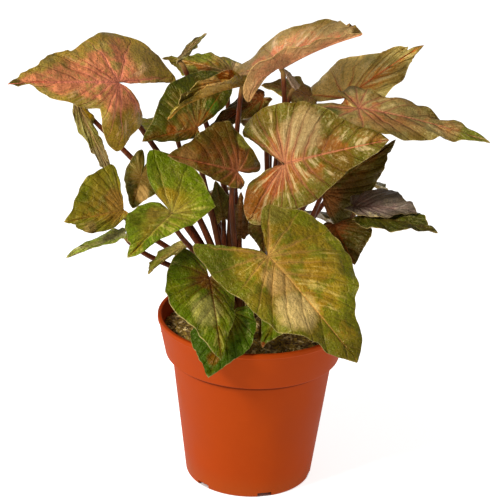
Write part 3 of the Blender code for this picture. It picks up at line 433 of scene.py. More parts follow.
CREAM = (200, 172, 104)
# tone of the painted glints, thin highlights on the blades
PAINTED_GLINT = (228, 208, 150)
WARM_GLOSS = (1.0, 0.88, 0.45, 1.0)
WARMTH = (1.0, 1.0, 0.76, 1.0)
LOOKS = {
    "leaf_01": Look(
        (176, 124, 72), (208, 124, 92), (142, 118, 38), (224, 128, 100), (150, 130, 68), (208, 164, 130),
        relief=0.3, light=1.16, spread=0.7, veining=1.0, shine=0.35, blotches=0.35, ruffle=1.3,
        spots=(
            (-0.06, 0.42, 0.22, (138, 110, 26)),
            (0.45, 0.22, 0.14, (136, 114, 42)),
            (-0.4, -0.2, 0.24, (138, 114, 54)),
            (0.98, 0.0, 0.09, (84, 76, 20)),
        ),
    ),
    "leaf_02": Look(
        (130, 112, 72), (132, 104, 44), (98, 88, 18), (152, 120, 76), (110, 104, 44), (190, 176, 144),
        light=1.12, relief=0.1, shine=0.2,
        ruffle=2.0, spots=((0.14, 0.1, 0.12, (142, 110, 10)), (0.7, 0.0, 0.2, (136, 118, 86))),
    ),
    "leaf_03": Look(
        (132, 112, 26), (142, 106, 22), (110, 104, 14), (170, 122, 46), (118, 114, 26), (182, 156, 90),
        light=1.08, ruffle=1.3,
        spots=(
            (0.15, -0.2, 0.16, (158, 114, 42)),
            (0.6, 0.18, 0.14, (144, 118, 66)),
            (0.65, -0.38, 0.15, (102, 106, 10)),
        ),
    ),
    "leaf_04": Look(
        (138, 142, 56), (144, 134, 80), (124, 142, 32), (180, 172, 112), (120, 136, 28), (192, 192, 148),
    ),
    "leaf_05": Look(
        (128, 130, 30), (142, 118, 24), (96, 118, 8), (166, 144, 60), (110, 124, 14), (178, 166, 82),
        ruffle=1.3,
        spots=(
            (0.24, -0.18, 0.13, (150, 122, 42)),
            (-0.18, -0.26, 0.16, (148, 118, 18)),
            (0.6, 0.14, 0.16, (98, 124, 12)),
            (0.5, -0.3, 0.1, (92, 100, 6)),
        ),
    ),
    "leaf_06": Look(
        (96, 80, 12), (98, 72, 10), (60, 54, 1), (126, 92, 34), (76, 72, 8), (170, 144, 90),
        light=0.95,
        shine=0.2, ruffle=1.4, spots=((0.5, 0.2, 0.26, (184, 142, 86)), (0.3, -0.15, 0.15, (64, 58, 1))),
    ),
    "leaf_07": Look(
        (124, 114, 40), (126, 100, 40), (70, 62, 4), (160, 136, 70), (108, 112, 20), (206, 196, 150),
        light=1.15,
    ),
    "leaf_08": Look(
        (94, 98, 4), (98, 84, 4), (72, 84, 0), (98, 42, 12), (82, 100, 2), (152, 144, 66),
        light=1.05, veining=0.5, relief=0.2, shine=0.7,
        # the first spot is painted sheen, a pale glossy patch right of the midrib
        spots=((0.42, -0.12, 0.2, (140, 134, 74)), (0.06, -0.06, 0.1, (108, 72, 8))),
    ),
    "leaf_09": Look(
        (72, 92, 0), (84, 82, 2), (56, 82, 0), (98, 88, 8), (58, 86, 0), (122, 124, 22),
        relief=0.35, light=1.12,
        veining=0.6, shine=0.3, spots=((0.72, -0.03, 0.11, (112, 72, 2)), (0.1, 0.3, 0.14, (52, 76, 1))),
    ),
    "leaf_10": Look(
        (86, 100, 6), (90, 86, 6), (68, 82, 0), (112, 86, 18), (74, 94, 2), (122, 124, 38),
        veining=0.5, spots=((0.96, 0.0, 0.08, (118, 48, 10)),),
    ),
    "leaf_11": Look(
        (138, 114, 22), (150, 112, 24), (98, 94, 10), (196, 146, 70), (108, 110, 14), (196, 166, 96),
        relief=0.3, spread=0.35, shine=0.4, ruffle=1.2,
        spots=(
            # the first two spots are painted sheen, pale glossy patches right of the midrib
            (0.46, -0.13, 0.16, (204, 172, 118)),
            (0.2, -0.09, 0.12, (196, 154, 96)),
            (0.3, 0.2, 0.12, (148, 112, 22)),
            (-0.22, -0.36, 0.17, (86, 92, 10)),
            (-0.26, 0.3, 0.13, (124, 114, 44)),
            (0.94, 0.0, 0.12, (96, 86, 8)),
        ),
    ),
    "leaf_12": Look(
        (150, 112, 40), (166, 98, 34), (94, 80, 4), (224, 138, 94), (112, 106, 18), (232, 200, 156),
        relief=0.7, light=0.7, spread=0.5, veining=1.0, shine=0.85, ruffle=1.4,
        spots=(
            # the first spot is painted sheen, a cream highlight patch left of the midrib
            (0.22, 0.26, 0.22, (208, 172, 124)),
            (-0.12, 0.42, 0.16, (112, 92, 14)),
            (-0.1, -0.15, 0.13, (186, 84, 28)),
            (0.55, -0.14, 0.15, (126, 94, 16)),
            (-0.38, -0.3, 0.18, (152, 84, 14)),
        ),
    ),
    "leaf_13": Look(
        (184, 138, 100), (210, 122, 92), (120, 98, 36), (214, 118, 92), (160, 132, 92), (222, 184, 160),
        relief=0.3,
        below=(190, 138, 88), spread=0.6, ruffle=1.8, spots=((0.96, 0.0, 0.1, (80, 62, 20)),),
    ),
    "leaf_14": Look(
        (146, 118, 62), (158, 110, 54), (102, 80, 28), (180, 84, 40), (136, 122, 74), (180, 160, 120),
        light=1.9, veining=0.6, relief=0.3,
        ruffle=2.2, spots=((0.1, 0.3, 0.36, (186, 158, 98)),),
    ),
    "leaf_15": Look(
        (154, 120, 74), (166, 110, 66), (106, 84, 22), (192, 112, 84), (138, 122, 76), (184, 158, 118),
        relief=0.4, veining=0.65, ruffle=2.2,
        spots=(
            (0.9, 0.0, 0.14, (106, 110, 28)),
            (-0.2, -0.12, 0.1, (90, 94, 32)),
            (-0.15, 0.32, 0.15, (134, 118, 84)),
        ),
    ),
    "leaf_16": Look(
        (134, 118, 52), (136, 90, 20), (94, 80, 10), (180, 140, 86), (116, 116, 38), (200, 178, 132),
        relief=0.4, light=1.4, ruffle=2.2,
        spots=(
            (0.4, 0.08, 0.14, (146, 78, 4)),
            (0.45, -0.15, 0.14, (110, 116, 34)),
            (-0.08, -0.16, 0.1, (200, 168, 132)),
        ),
    ),
    "leaf_17": Look(
        (84, 68, 6), (94, 66, 10), (58, 66, 4), (156, 84, 26), (74, 78, 4), (162, 136, 82),
        light=0.95, relief=0.15, veining=0.6,
        spots=(
            (0.2, -0.22, 0.13, (136, 98, 32)),
            (-0.42, -0.36, 0.15, (62, 94, 4)),
            (0.46, -0.06, 0.1, (128, 66, 6)),
        ),
    ),
    "leaf_18": Look(
        (118, 90, 16), (128, 70, 4), (64, 52, 2), (172, 108, 46), (118, 104, 24), (204, 172, 116),
        light=1.6,
        below=(128, 104, 36),
        spots=(
            (0.4, 0.02, 0.2, (192, 148, 88)),
            (0.2, -0.12, 0.12, (138, 72, 2)),
            (0.76, -0.04, 0.12, (62, 52, 2)),
        ),
    ),
    "leaf_19": Look(
        (82, 46, 4), (86, 36, 1), (52, 30, 1), (124, 60, 20), (65, 54, 8), (130, 122, 70),
        light=1.25,
    ),
    "leaf_20": Look(
        (112, 68, 6), (112, 56, 4), (86, 66, 6), (200, 112, 70), (94, 76, 12), (160, 120, 64),
        light=0.86, veining=0.6, relief=0.2,
        spots=(
            (0.74, -0.02, 0.13, (140, 98, 50)),
            (0.04, -0.2, 0.12, (140, 76, 26)),
            (-0.02, -0.44, 0.13, (152, 144, 56)),
        ),
    ),
    "leaf_21": Look(
        (64, 46, 3), (66, 38, 1), (48, 33, 1), (88, 52, 14), (61, 52, 8), (110, 92, 50),
        veining=0.4, shine=0.1, relief=0.15,
        spots=((-0.12, 0.0, 0.3, (124, 72, 36)),),
        light=1.6,
    ),
    "leaf_22": Look(
        (108, 90, 92), (118, 94, 98), (84, 70, 62), (84, 46, 36), (100, 88, 84), (156, 140, 142),
        light=1.25, relief=0.3, veining=0.6,
    ),
    "leaf_23": Look(
        (66, 51, 2), (78, 44, 2), (50, 38, 1), (138, 70, 22), (62, 55, 2), (98, 86, 34),
        light=1.15, relief=0.15, shine=0.2,
    ),
    "leaf_24": Look(
        (82, 47, 4), (92, 56, 12), (60, 24, 1), (120, 62, 22), (73, 57, 6), (124, 92, 38), below=(82, 48, 6),
        light=1.25,
    ),
    "leaf_25": Look(
        (58, 48, 8), (74, 50, 12), (40, 26, 1), (100, 64, 24), (56, 62, 6), (150, 150, 72),
        below=(58, 50, 10), light=2.1,
    ),
    "leaf_26": Look(
        (74, 59, 12), (80, 54, 14), (40, 16, 0), (100, 62, 24), (60, 60, 8), (104, 98, 38)),
    "leaf_27": Look(
        (112, 96, 18), (126, 106, 34), (96, 82, 10), (140, 112, 50), (86, 88, 8), (160, 140, 76)),
    "leaf_28": Look(
        (150, 106, 48), (172, 128, 76), (104, 80, 14), (182, 98, 58), (126, 104, 36), (196, 160, 108),
    ),
    "leaf_29": Look(
        (120, 100, 22), (134, 108, 40), (100, 86, 12), (150, 112, 54), (98, 96, 16), (166, 144, 80),
    ),
    "leaf_30": Look(
        (134, 110, 20), (148, 120, 44), (110, 96, 14), (168, 108, 56), (110, 106, 20), (182, 152, 88),
    ),
    "leaf_31": Look(
        (98, 78, 30), (104, 76, 24), (70, 50, 6), (126, 84, 40), (90, 80, 28), (134, 122, 70)),
    "leaf_32": Look(
        (136, 122, 74), (138, 104, 50), (66, 50, 6), (166, 140, 100), (130, 126, 76), (206, 196, 160),
    ),
    "leaf_33": Look(
        (105, 86, 36), (114, 76, 38), (70, 50, 6), (140, 100, 60), (108, 98, 46), (178, 160, 124),
        light=2.1,
    ),
    "leaf_34": Look(
        (64, 60, 6), (60, 46, 10), (40, 34, 1), (100, 84, 34), (58, 62, 2), (148, 140, 100),
        relief=0.15, light=1.4, veining=0.5, shine=0.3, ruffle=0.9,
    ),
    "leaf_35": Look(
        (134, 112, 86), (150, 126, 102), (74, 54, 20), (160, 124, 98), (124, 111, 84), (186, 168, 148),
        light=2.0,
        below=(158, 134, 112),
    ),
}


def srgb(red, green, blue):
    """A linear colour from 8-bit values."""
    shares = (value / 255 for value in (red, green, blue))
    linear = [s / 12.92 if s <= 0.04045 else ((s + 0.055) / 1.055) ** 2.4 for s in shares]
    return (*linear, 1.0)


def link_mesh(name, points, faces, material=None, sharp=40):
    """A new object from points and faces, shaded smooth but for its sharp edges."""
    mesh = bpy.data.meshes.new(name)
    mesh.from_pydata(np.asarray(points, float).tolist(), [], [tuple(map(int, face)) for face in faces])
    mesh.shade_smooth()
    mesh.set_sharp_from_angle(angle=math.radians(sharp))
    if material:
        mesh.materials.append(material)
    obj = bpy.data.objects.new(name, mesh)
    bpy.context.scene.collection.objects.link(obj)
    return obj


def add_cutter(target, name, points, faces):
    """Cuts a closed mesh from target with a live Boolean, and gives back the cutter."""
    cutter = link_mesh(name, points, faces)
    modifier = target.modifiers.new(name, "BOOLEAN")
    modifier.operation = "DIFFERENCE"
    modifier.object = cutter
    return cutter


def as_plain(obj, helpers=()):
    """Bakes obj's modifiers into its mesh and removes them and their helper objects."""
    evaluated = obj.evaluated_get(bpy.context.evaluated_depsgraph_get())
    mesh = bpy.data.meshes.new_from_object(evaluated)
    obj.modifiers.clear()
    obj.data = mesh
    for helper in helpers:
        bpy.data.objects.remove(helper, do_unlink=True)
    return obj


def stand_for(obj, node):
    """obj stands for a CAD node, which it hides, and it moves with the plant."""
    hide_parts(node)
    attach(obj, BODY)


def turned(profile, sides):
    """Points and faces of a profile of (radius, height) turned round Z. It runs up the outside, starts and
    ends on the axis, and so closes."""
    inner = [(r, z) for r, z in profile if r > 0]
    points = [(0.0, 0.0, profile[0][1])]
    for radius, height in inner:
        for side in range(sides):
            angle = math.tau * side / sides
            points.append((radius * math.cos(angle), radius * math.sin(angle), height))
    points.append((0.0, 0.0, profile[-1][1]))
    last = len(points) - 1
    faces = []
    for side in range(sides):
        after = (side + 1) % sides
        faces.append((0, 1 + after, 1 + side))
        for ring in range(len(inner) - 1):
            low, high = 1 + ring * sides, 1 + (ring + 1) * sides
            faces.append((low + side, low + after, high + after, high + side))
        top = last - sides
        faces.append((top + side, top + after, last))
    return points, faces


def cylinder(centre, radius, bottom, top, sides):
    x, y = centre
    points, faces = turned([(0, bottom), (radius, bottom), (radius, top), (0, top)], sides)
    return [(px + x, py + y, pz) for px, py, pz in points], faces


def box_at(angle, radius, length, width, bottom, top):
    """A box whose length runs outwards, centred at radius along angle."""
    corners = []
    for z in (bottom, top):
        for along, across in ((-1, -1), (1, -1), (1, 1), (-1, 1)):
            r, t = radius + along * length / 2, across * width / 2
            x = r * math.cos(angle) - t * math.sin(angle)
            y = r * math.sin(angle) + t * math.cos(angle)
            corners.append((x, y, z))
    faces = [(0, 3, 2, 1), (4, 5, 6, 7), (0, 1, 5, 4), (1, 2, 6, 5), (2, 3, 7, 6), (3, 0, 4, 7)]
    return corners, faces


def merged(shapes):
    """Several (points, faces) as one."""
    points, faces = [], []
    for shape_points, shape_faces in shapes:
        start = len(points)
        points += list(shape_points)
        faces += [tuple(index + start for index in face) for face in shape_faces]
    return points, faces


def inner_wall():
    """The inside of the pot from the edge of its floor to its rim, as (radius, height)."""
    floor = FOOT_HEIGHT + POT_WALL
    ledge = COLLAR_BOTTOM_Z + POT_WALL
    return [
        (BASE_RADIUS + BODY_SLOPE * floor - POT_WALL, floor),
        (BODY_TOP_RADIUS - POT_WALL, ledge),
        (COLLAR_BOTTOM_RADIUS - POT_WALL, ledge),
        (RIM_RADIUS - LIP_WALL - LIP_STEP, POT_HEIGHT - LIP_HEIGHT),
    ]


def rounded(corners):
    """A profile of (radius, height, rounding) with an arc drawn at each rounded corner."""
    profile = []
    for index, (radius, height, rounding) in enumerate(corners):
        here = np.array([radius, height])
        if not rounding:
            profile.append(tuple(here))
            continue
        before = np.array(corners[index - 1][:2]) - here
        after = np.array(corners[index + 1][:2]) - here
        start = here + before / np.linalg.norm(before) * min(rounding, np.linalg.norm(before) / 2)
        end = here + after / np.linalg.norm(after) * min(rounding, np.linalg.norm(after) / 2)
        for t in np.linspace(0, 1, ARC_STEPS):
            profile.append(tuple((1 - t) ** 2 * start + 2 * t * (1 - t) * here + t**2 * end))
    return profile


def make_pot(material):
    """The pot: a tapered body, a collar that flares to a lip, a foot ring with notches, and drain holes."""
    foot_inner = BASE_RADIUS - FOOT_WIDTH
    lip_bottom = POT_HEIGHT - LIP_HEIGHT
    small = LIP_STEP / 2
    inside = [(radius, height, POT_WALL / 2) for radius, height in reversed(inner_wall())]
    over_notch = NOTCH_HEIGHT + OVER_NOTCH
    corners = [
        (0, 0, 0),
        (CENTRE_PAD_RADIUS, 0, small),
        (CENTRE_PAD_RADIUS, FOOT_HEIGHT, small),
        (foot_inner, FOOT_HEIGHT, small),
        (foot_inner, 0, small),
        (BASE_RADIUS, 0, BASE_ROUND),
        (BASE_RADIUS + BODY_SLOPE * over_notch, over_notch, 0),
        (BODY_TOP_RADIUS, COLLAR_BOTTOM_Z, BODY_FILLET),
        (COLLAR_BOTTOM_RADIUS, COLLAR_BOTTOM_Z, COLLAR_ROUND),
        (RIM_RADIUS - LIP_STEP, lip_bottom, small),
        (RIM_RADIUS, lip_bottom + LIP_STEP, small),
        (RIM_RADIUS, POT_HEIGHT, LIP_ROUND),
        (RIM_RADIUS - LIP_WALL, POT_HEIGHT, LIP_ROUND),
        *inside,
        (0, FOOT_HEIGHT + POT_WALL, 0),
    ]
    pot = link_mesh("pot_shell", *turned(rounded(corners), POT_SIDES), material, sharp=POT_SHARP)
    middle = BASE_RADIUS - FOOT_WIDTH / 2
    drain_top = FOOT_HEIGHT + POT_WALL + CUT_PAST
    notches, drains = [], []
    for index in range(NOTCH_COUNT):
        angle = NOTCH_FIRST + math.tau * index / NOTCH_COUNT
        notches.append(box_at(angle, middle, NOTCH_DEPTH, NOTCH_WIDTH, -CUT_PAST, NOTCH_HEIGHT))
        centre = (DRAIN_CIRCLE * math.cos(angle), DRAIN_CIRCLE * math.sin(angle))
        drains.append(cylinder(centre, DRAIN_RADIUS, -CUT_PAST, drain_top, DRAIN_SIDES))
    cutters = [
        add_cutter(pot, "foot_notches", *merged(notches)),
        add_cutter(pot, "drain_holes", *merged(drains)),
    ]
    as_plain(pot, cutters)
    pot.data.set_sharp_from_angle(angle=math.radians(POT_SHARP))
    stand_for(pot, "pot")


def wall_radius_at(height):
    """Radius of the collar's inside at a height."""
    collar = inner_wall()[2:]
    return float(np.interp(height, [z for _, z in collar], [r for r, _ in collar]))


def soil_height(x, y):
    """How far the potting mix rises above its level at a place, with heaves and lumps."""
    heave = math.sin(x * SOIL_HEAVES[0] + 1.3) * math.cos(y * SOIL_HEAVES[1] - 0.4)
    lump = noise.fractal(Vector((x, y, 0)) * 190, 0.8, 2.1, 4)
    return SOIL_ROUGH * heave * 0.8 + SOIL_LUMPS * lump


def make_soil(material):
    """Potting mix that fills the pot to just under the rim, with an uneven, lumpy top."""
    floor, ledge_low, ledge_high, _ = inner_wall()
    side = [(radius - GAP, height + GAP) for radius, height in (floor, ledge_low, ledge_high)]
    edge = wall_radius_at(SOIL_TOP) - GAP
    top = [(edge * ring / SOIL_RINGS, SOIL_TOP) for ring in range(SOIL_RINGS, -1, -1)]
    points, faces = turned([(0, side[0][1]), *side, *top], POT_SIDES)
    first_top = 1 + len(side) * POT_SIDES
    for index in range(first_top, len(points)):
        x, y, z = points[index]
        points[index] = (x, y, z + soil_height(x, y))
    soil = link_mesh("soil_bed", points, faces, material)
    stand_for(soil, "soil")
    bed_faces = [face for face in faces if min(face) >= first_top]
    used = sorted({index for face in bed_faces for index in face})
    place = {index: new for new, index in enumerate(used)}
    return [points[index] for index in used], [tuple(place[i] for i in face) for face in bed_faces]


def grain_tree():
    """A Geometry Nodes tree that strews lumpy grains over a surface."""
    tree = bpy.data.node_groups.new("strewn grains", "GeometryNodeTree")
    numbers = dict.fromkeys(("Grains on a square metre", "Smallest", "Largest", "Width", "Sink"), "Float")
    for label, kind in {"Ground": "Geometry", **numbers, "Seed": "Int", "Material": "Material"}.items():
        tree.interface.new_socket(name=label, in_out="INPUT", socket_type="NodeSocket" + kind)
    tree.interface.new_socket(name="Grains", in_out="OUTPUT", socket_type="NodeSocketGeometry")
    g = Graph(tree)
    given = g.values("NodeGroupInput")
    seed, width = given["Seed"], given["Width"]

    def chance(low, high):
        """A vector between two corners, another one for each grain."""
        feeds = {"Min": low, "Max": high, "Seed": seed}
        return g.value("FunctionNodeRandomValue", feeds, data_type="FLOAT_VECTOR")

    feeds = {"Mesh": given["Ground"], "Density": given["Grains on a square metre"], "Seed": seed}
    points = g.value("GeometryNodeDistributePointsOnFaces", feeds, "Points")
    ball = g.value("GeometryNodeMeshIcoSphere", {"Radius": 0.5, "Subdivisions": 2}, "Mesh")
    turn = chance((-0.5, -0.5, 0.0), (0.5, 0.5, math.tau))
    squash = chance((0.7, 0.6, 0.5), (1.0, 1.1, 0.9))
    feeds = {2: given["Smallest"], 3: given["Largest"], "Seed": seed}
    size = g.value("FunctionNodeRandomValue", feeds, 1, data_type="FLOAT")
    shape = g.value("ShaderNodeCombineXYZ", {"X": 1.0, "Y": width, "Z": width})
    scale = g.vector("SCALE", {0: g.vector("MULTIPLY", {0: squash, 1: shape}), "Scale": size})
    feeds = {"Points": points, "Instance": ball, "Rotation": turn, "Scale": scale}
    grains = g.value("GeometryNodeInstanceOnPoints", feeds)
    grains = g.value("GeometryNodeRealizeInstances", {"Geometry": grains})
    feeds = {"Vector": g.value("GeometryNodeInputPosition"), "Scale": GRAIN_LUMPS}
    lumps = g.vector("SUBTRACT", {0: g.value("ShaderNodeTexNoise", feeds, "Color"), 1: (0.5, 0.5, 0.5)})
    push = g.vector("SCALE", {0: lumps, "Scale": given["Largest"] * width * 0.6})
    sink = g.value("ShaderNodeCombineXYZ", {"Z": given["Sink"] * -1.0})
    feeds = {"Geometry": grains, "Offset": g.vector("ADD", {0: push, 1: sink})}
    grains = g.value("GeometryNodeSetPosition", feeds)
    grains = g.value("GeometryNodeSetMaterial", {"Geometry": grains, "Material": given["Material"]})
    g.node("NodeGroupOutput", {0: grains})
    return tree


def make_grains(bed):
    """Crumbs, bark chips and perlite on the potting mix."""
    tree = grain_tree()
    sockets = {item.name: item.identifier for item in tree.interface.items_tree if item.in_out == "INPUT"}
    for kind, (earth, smallest, largest, width, density, seed) in GRAINS.items():
        grains = link_mesh(f"soil_{kind}", *bed)
        modifier = grains.modifiers.new("grains", "NODES")
        modifier.node_group = tree
        values = {
            "Grains on a square metre": float(density),
            "Smallest": smallest,
            "Largest": largest,
            "Width": width,
            "Sink": GRAIN_SINK,
            "Seed": seed,
            "Material": earth_material(earth),
        }
        for label, value in values.items():
            modifier[sockets[label]] = value
        as_plain(grains)
        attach(grains, BODY)


def curve_through(knots, count):
    """count points on a smooth curve through the knots, at even spacing along it."""
    knots = np.asarray(knots, float)
    ends = np.vstack([2 * knots[0] - knots[1], knots, 2 * knots[-1] - knots[-2]])
    u = np.linspace(0, len(knots) - 1, CURVE_SAMPLES)
    start = np.minimum(u.astype(int), len(knots) - 2)
    t = (u - start)[:, None]
    a, b, c, d = (ends[start + step] for step in range(4))
    fine = (2 * b + (c - a) * t + (2 * a - 5 * b + 4 * c - d) * t**2 + (3 * (b - c) + d - a) * t**3) / 2
    run = np.concatenate([[0], np.cumsum(np.linalg.norm(np.diff(fine, axis=0), axis=1))])
    even = np.linspace(0, run[-1], count)
    return np.stack([np.interp(even, run, fine[:, axis]) for axis in range(fine.shape[1])], -1)


def outline_of(half, front_rays, lobe_rays):
    """The flat margin of one half, from the tip past its widest point and round the lobe to the sinus."""
    apex, widest = np.array(half.lobe), np.array([half.belly, half.width])
    run = apex - widest
    outer = widest + run / 2 + half.bulge * np.array([run[1], -run[0]])
    inner = half.full * np.array([-apex[1], apex[0]])
    ahead = 1 - half.belly
    front = [
        (1, 0),
        (0.93, (0.076 + 0.12 * half.blunt) * half.width),
        (0.84, (0.13 + 0.25 * half.blunt) * half.width),
        (half.belly + 0.64 * ahead, 0.42 * half.width),
        (half.belly + 0.42 * ahead, 0.72 * half.width),
        (half.belly + 0.20 * ahead, 0.93 * half.width),
        widest,
    ]
    lobe = [widest, outer, apex, 0.62 * apex + inner, 0.30 * apex + 0.7 * inner]
    return np.vstack([curve_through(front, front_rays + 1), curve_through(lobe, lobe_rays + 1)[1:]])


def flat_rays(half, grid):
    """Flat points (ray, ring, 2) of one half, each ray's reach at its rings, and its count in side veins."""
    front_rays, lobe_rays, rings = grid
    margin = outline_of(half, front_rays, lobe_rays)
    foot = np.zeros(len(margin))
    foot[: front_rays + 1] = (1 - np.arange(front_rays + 1) / front_rays) ** RIB_FEET
    feet = np.stack([foot, np.zeros_like(foot)], -1)
    reach = (np.arange(rings + 1) / rings) ** RING_CROWDING
    run = margin - feet
    back = np.stack([-run[:, 1], run[:, 0]], -1)
    bow = np.zeros(len(margin))
    bow[: front_rays + 1] = VEIN_BOW * np.sin(np.pi * (np.arange(front_rays + 1) / front_rays) ** 0.8)
    bulge = (reach * (1 - reach) * 4)[None, :, None] * back[:, None] * bow[:, None, None]
    flat = feet[:, None] + run[:, None] * reach[None, :, None] + bulge
    apex_ray = front_rays + 1 + np.argmin(np.linalg.norm(margin[front_rays + 1 :] - half.lobe, axis=1))
    last_ray = len(margin) - 1
    marks = (0, front_rays, apex_ray, last_ray) if apex_ray < last_ray else (0, front_rays, last_ray)
    counts = (0, FRONT_VEINS, LOBE_RIB, LAST_VEIN)[: len(marks)]
    return flat, reach, np.interp(np.arange(len(margin)), marks, counts)


def smooth_step(low, high, x):
    t = np.clip((x - low) / (high - low), 0, 1)
    return t * t * (3 - 2 * t)


def summed(slope, along):
    """The sum of slope over along, which is nought where along is."""
    total = np.concatenate([[0], np.cumsum((slope[1:] + slope[:-1]) / 2 * (along[1] - along[0]))])
    return total - np.interp(0, along, total)


def midrib(leaf, half):
    """Where the bent midrib runs: its flat shares, and the forward run, fall and pitch at each."""
    along = np.linspace(*RIB_SPAN, MIDRIB_SAMPLES)
    back = max(-half.lobe[0], 0.15)
    pitch = np.where(along < 0, math.radians(half.drop) * along / back, math.radians(leaf.arch) * along)
    pitch = np.maximum(pitch, -STEEPEST_DROP) + math.radians(leaf.hook) * smooth_step(HOOK_FROM, 1.0, along)
    return along, summed(np.cos(pitch), along), summed(np.sin(pitch), along), pitch


def bent(leaf, half, flat, reach, is_left):
    """Flat points bent: the midrib arches, the half folds and curls, its lobe drops, its margin waves."""
    x, y = flat[..., 0], flat[..., 1]
    along, forward, down, pitch = midrib(leaf, half)
    rib_x, rib_z = np.interp(x, along, forward), -np.interp(x, along, down)
    pitch = np.interp(x, along, pitch)
    fold = math.radians(half.fold)
    curl = math.radians(half.curl if abs(half.curl) > 0.01 else 0.01) / half.width
    across = (math.sin(fold) - np.sin(fold - curl * y)) / curl * (1 if is_left else -1)
    rise = (np.cos(fold - curl * y) - math.cos(fold)) / curl
    share = np.linspace(0, 1, len(flat))[:, None]
    calm = smooth_step(0.02, 0.15, share) * (1 - 0.6 * smooth_step(0.75, 1.0, share))
    turn = leaf.waves * share + leaf.phase + (0 if is_left else 0.31)
    rise = rise + leaf.wave * reach[None, :] ** WAVE_RISE * calm * np.sin(math.tau * turn)
    twist = math.radians(leaf.twist) * x
    across, rise = (
        across * np.cos(twist) - rise * np.sin(twist),
        across * np.sin(twist) + rise * np.cos(twist),
    )
    return np.stack([rib_x + rise * np.sin(pitch), across, rib_z + rise * np.cos(pitch)], -1)


def frame_towards(direction):
    """Columns forward, left and up of a blade that heads along direction, its face as level as can be."""
    forward = direction / np.linalg.norm(direction)
    level = np.array([0, 0, 1.0]) if abs(forward[2]) < 0.97 else np.array([0, 1.0, 0])
    up = level - forward * (level @ forward)
    up /= np.linalg.norm(up)
    return np.stack([forward, np.cross(up, forward), up], -1)


def placed(leaf, local_tip):
    """Scale and rotation from the blade's own frame to the plant's."""
    joint, tip = np.array(leaf.joint), np.array(leaf.tip)
    cosine, sine = math.cos(math.radians(leaf.roll)), math.sin(math.radians(leaf.roll))
    turn = np.array([[1, 0, 0], [0, cosine, -sine], [0, sine, cosine]])
    scale = np.linalg.norm(tip - joint) / np.linalg.norm(local_tip)
    return scale, frame_towards(tip - joint) @ turn @ frame_towards(local_tip).T


def laid_out(leaf, grid):
    """A blade on its (side, ray, ring) grid: places, flat shares, vein count, reach, scale and the normal at
    its joint."""
    places, flats, counts = [], [], []
    for half, is_left in ((leaf.left, True), (leaf.right, False)):
        flat, reach, count = flat_rays(half, grid)
        places.append(bent(leaf, half, flat, reach, is_left))
        flats.append(flat)
        counts.append(np.repeat(count[:, None], len(reach), 1))
    scale, rotation = placed(leaf, places[0][0, 0])
    reach = np.broadcast_to(reach, counts[0].shape)
    places = np.stack(places) @ rotation.T * scale + leaf.joint
    return places, np.stack(flats), np.stack(counts), np.stack([reach, reach]), scale, rotation[:, 2]


def grid_index(front_rays, last_ray, last_ring):
    """Point number at each (side, ray, ring): the halves share the midrib, and all lobe rays the joint."""
    index = np.zeros((2, last_ray + 1, last_ring + 1), int)
    own = last_ray * last_ring
    for side in (0, 1):
        index[side, 1:, 1:] = front_rays + 1 + side * own + np.arange(own).reshape(last_ray, last_ring)
        index[side, 1:, 0] = np.minimum(np.arange(1, last_ray + 1), front_rays)
    return index


def face_corners(index):
    """Corners (triangle, corner, side-ray-ring) of the upper face, and the margin in order round it."""
    last_ray, last_ring = index.shape[1] - 1, index.shape[2] - 1
    ray, ring = np.indices((last_ray, last_ring)).reshape(2, -1)
    corners = []
    for side in (0, 1):
        steps, sides = ((0, 0), (1, 0), (1, 1), (0, 1)), np.full_like(ray, side)
        a, b, c, d = (np.stack([sides, ray + i, ring + j], -1) for i, j in steps)
        order = ((a, d, c), (a, c, b)) if side == 0 else ((c, d, a), (b, c, a))
        corners += [np.stack(triangle, 1) for triangle in order]
    corners = np.concatenate(corners)
    numbers = index[tuple(np.moveaxis(corners, -1, 0))]
    whole = np.all(numbers != np.roll(numbers, 1, 1), 1)
    margin = [(0, ray, last_ring) for ray in range(last_ray + 1)]
    margin += [(0, last_ray, ring) for ring in range(last_ring - 1, -1, -1)]
    margin += [(1, last_ray, ring) for ring in range(1, last_ring + 1)]
    margin += [(1, ray, last_ring) for ray in range(last_ray - 1, 0, -1)]
    return corners[whole], np.array(margin)


def point_normals(points, triangles):
    corners = points[triangles]
    facing = np.cross(corners[:, 1] - corners[:, 0], corners[:, 2] - corners[:, 0])
    normals = np.zeros_like(points)
    for corner in range(3):
        np.add.at(normals, triangles[:, corner], facing)
    return normals / np.linalg.norm(normals, axis=1)[:, None]


def crumpled(places):
    """Broad unevenness in metres at flat places, whose third number sets one blade apart from the next."""
    flat_places = places.reshape(-1, 3)
    height = np.zeros(len(flat_places))
    for scale, share in CRUMPLE_SCALES:
        spots = flat_places * (scale, scale, 1.0)
        height += share * np.array([noise.noise(Vector(spot)) for spot in spots])
    return CRUMPLE * height.reshape(places.shape[:-1])


def wavy(turns):
    """A sine wave by how many times it has gone round."""
    return np.sin(math.tau * turns)


def measures(flat, count, reach, scale, length):
    """At each grid place: distance from the midrib and the lobe's rib in half widths of them, and the metres
    between side veins and to the margin."""
    step = np.gradient(flat, axis=1) * scale
    spacing = np.linalg.norm(step, axis=-1) / np.maximum(np.gradient(count, axis=1), 1e-6)
    x, y = flat[..., 0] * scale, flat[..., 1] * scale
    rib_half = RIB_HALF * np.clip(1 - 0.7 * flat[..., 0], 0.25, 1) * min(1, 0.5 + length / 0.12)
    rib = np.hypot(np.minimum(x, 0), y) / rib_half
    lobe_half = RIB_HALF * LOBE_RIB_SHARE * (1 - 0.7 * reach)
    lobe_rib = np.abs(count - LOBE_RIB) * spacing / lobe_half
    margin_gap = np.linalg.norm(flat - flat[:, :, -1:], axis=-1) * scale
    return rib, lobe_rib, spacing, margin_gap


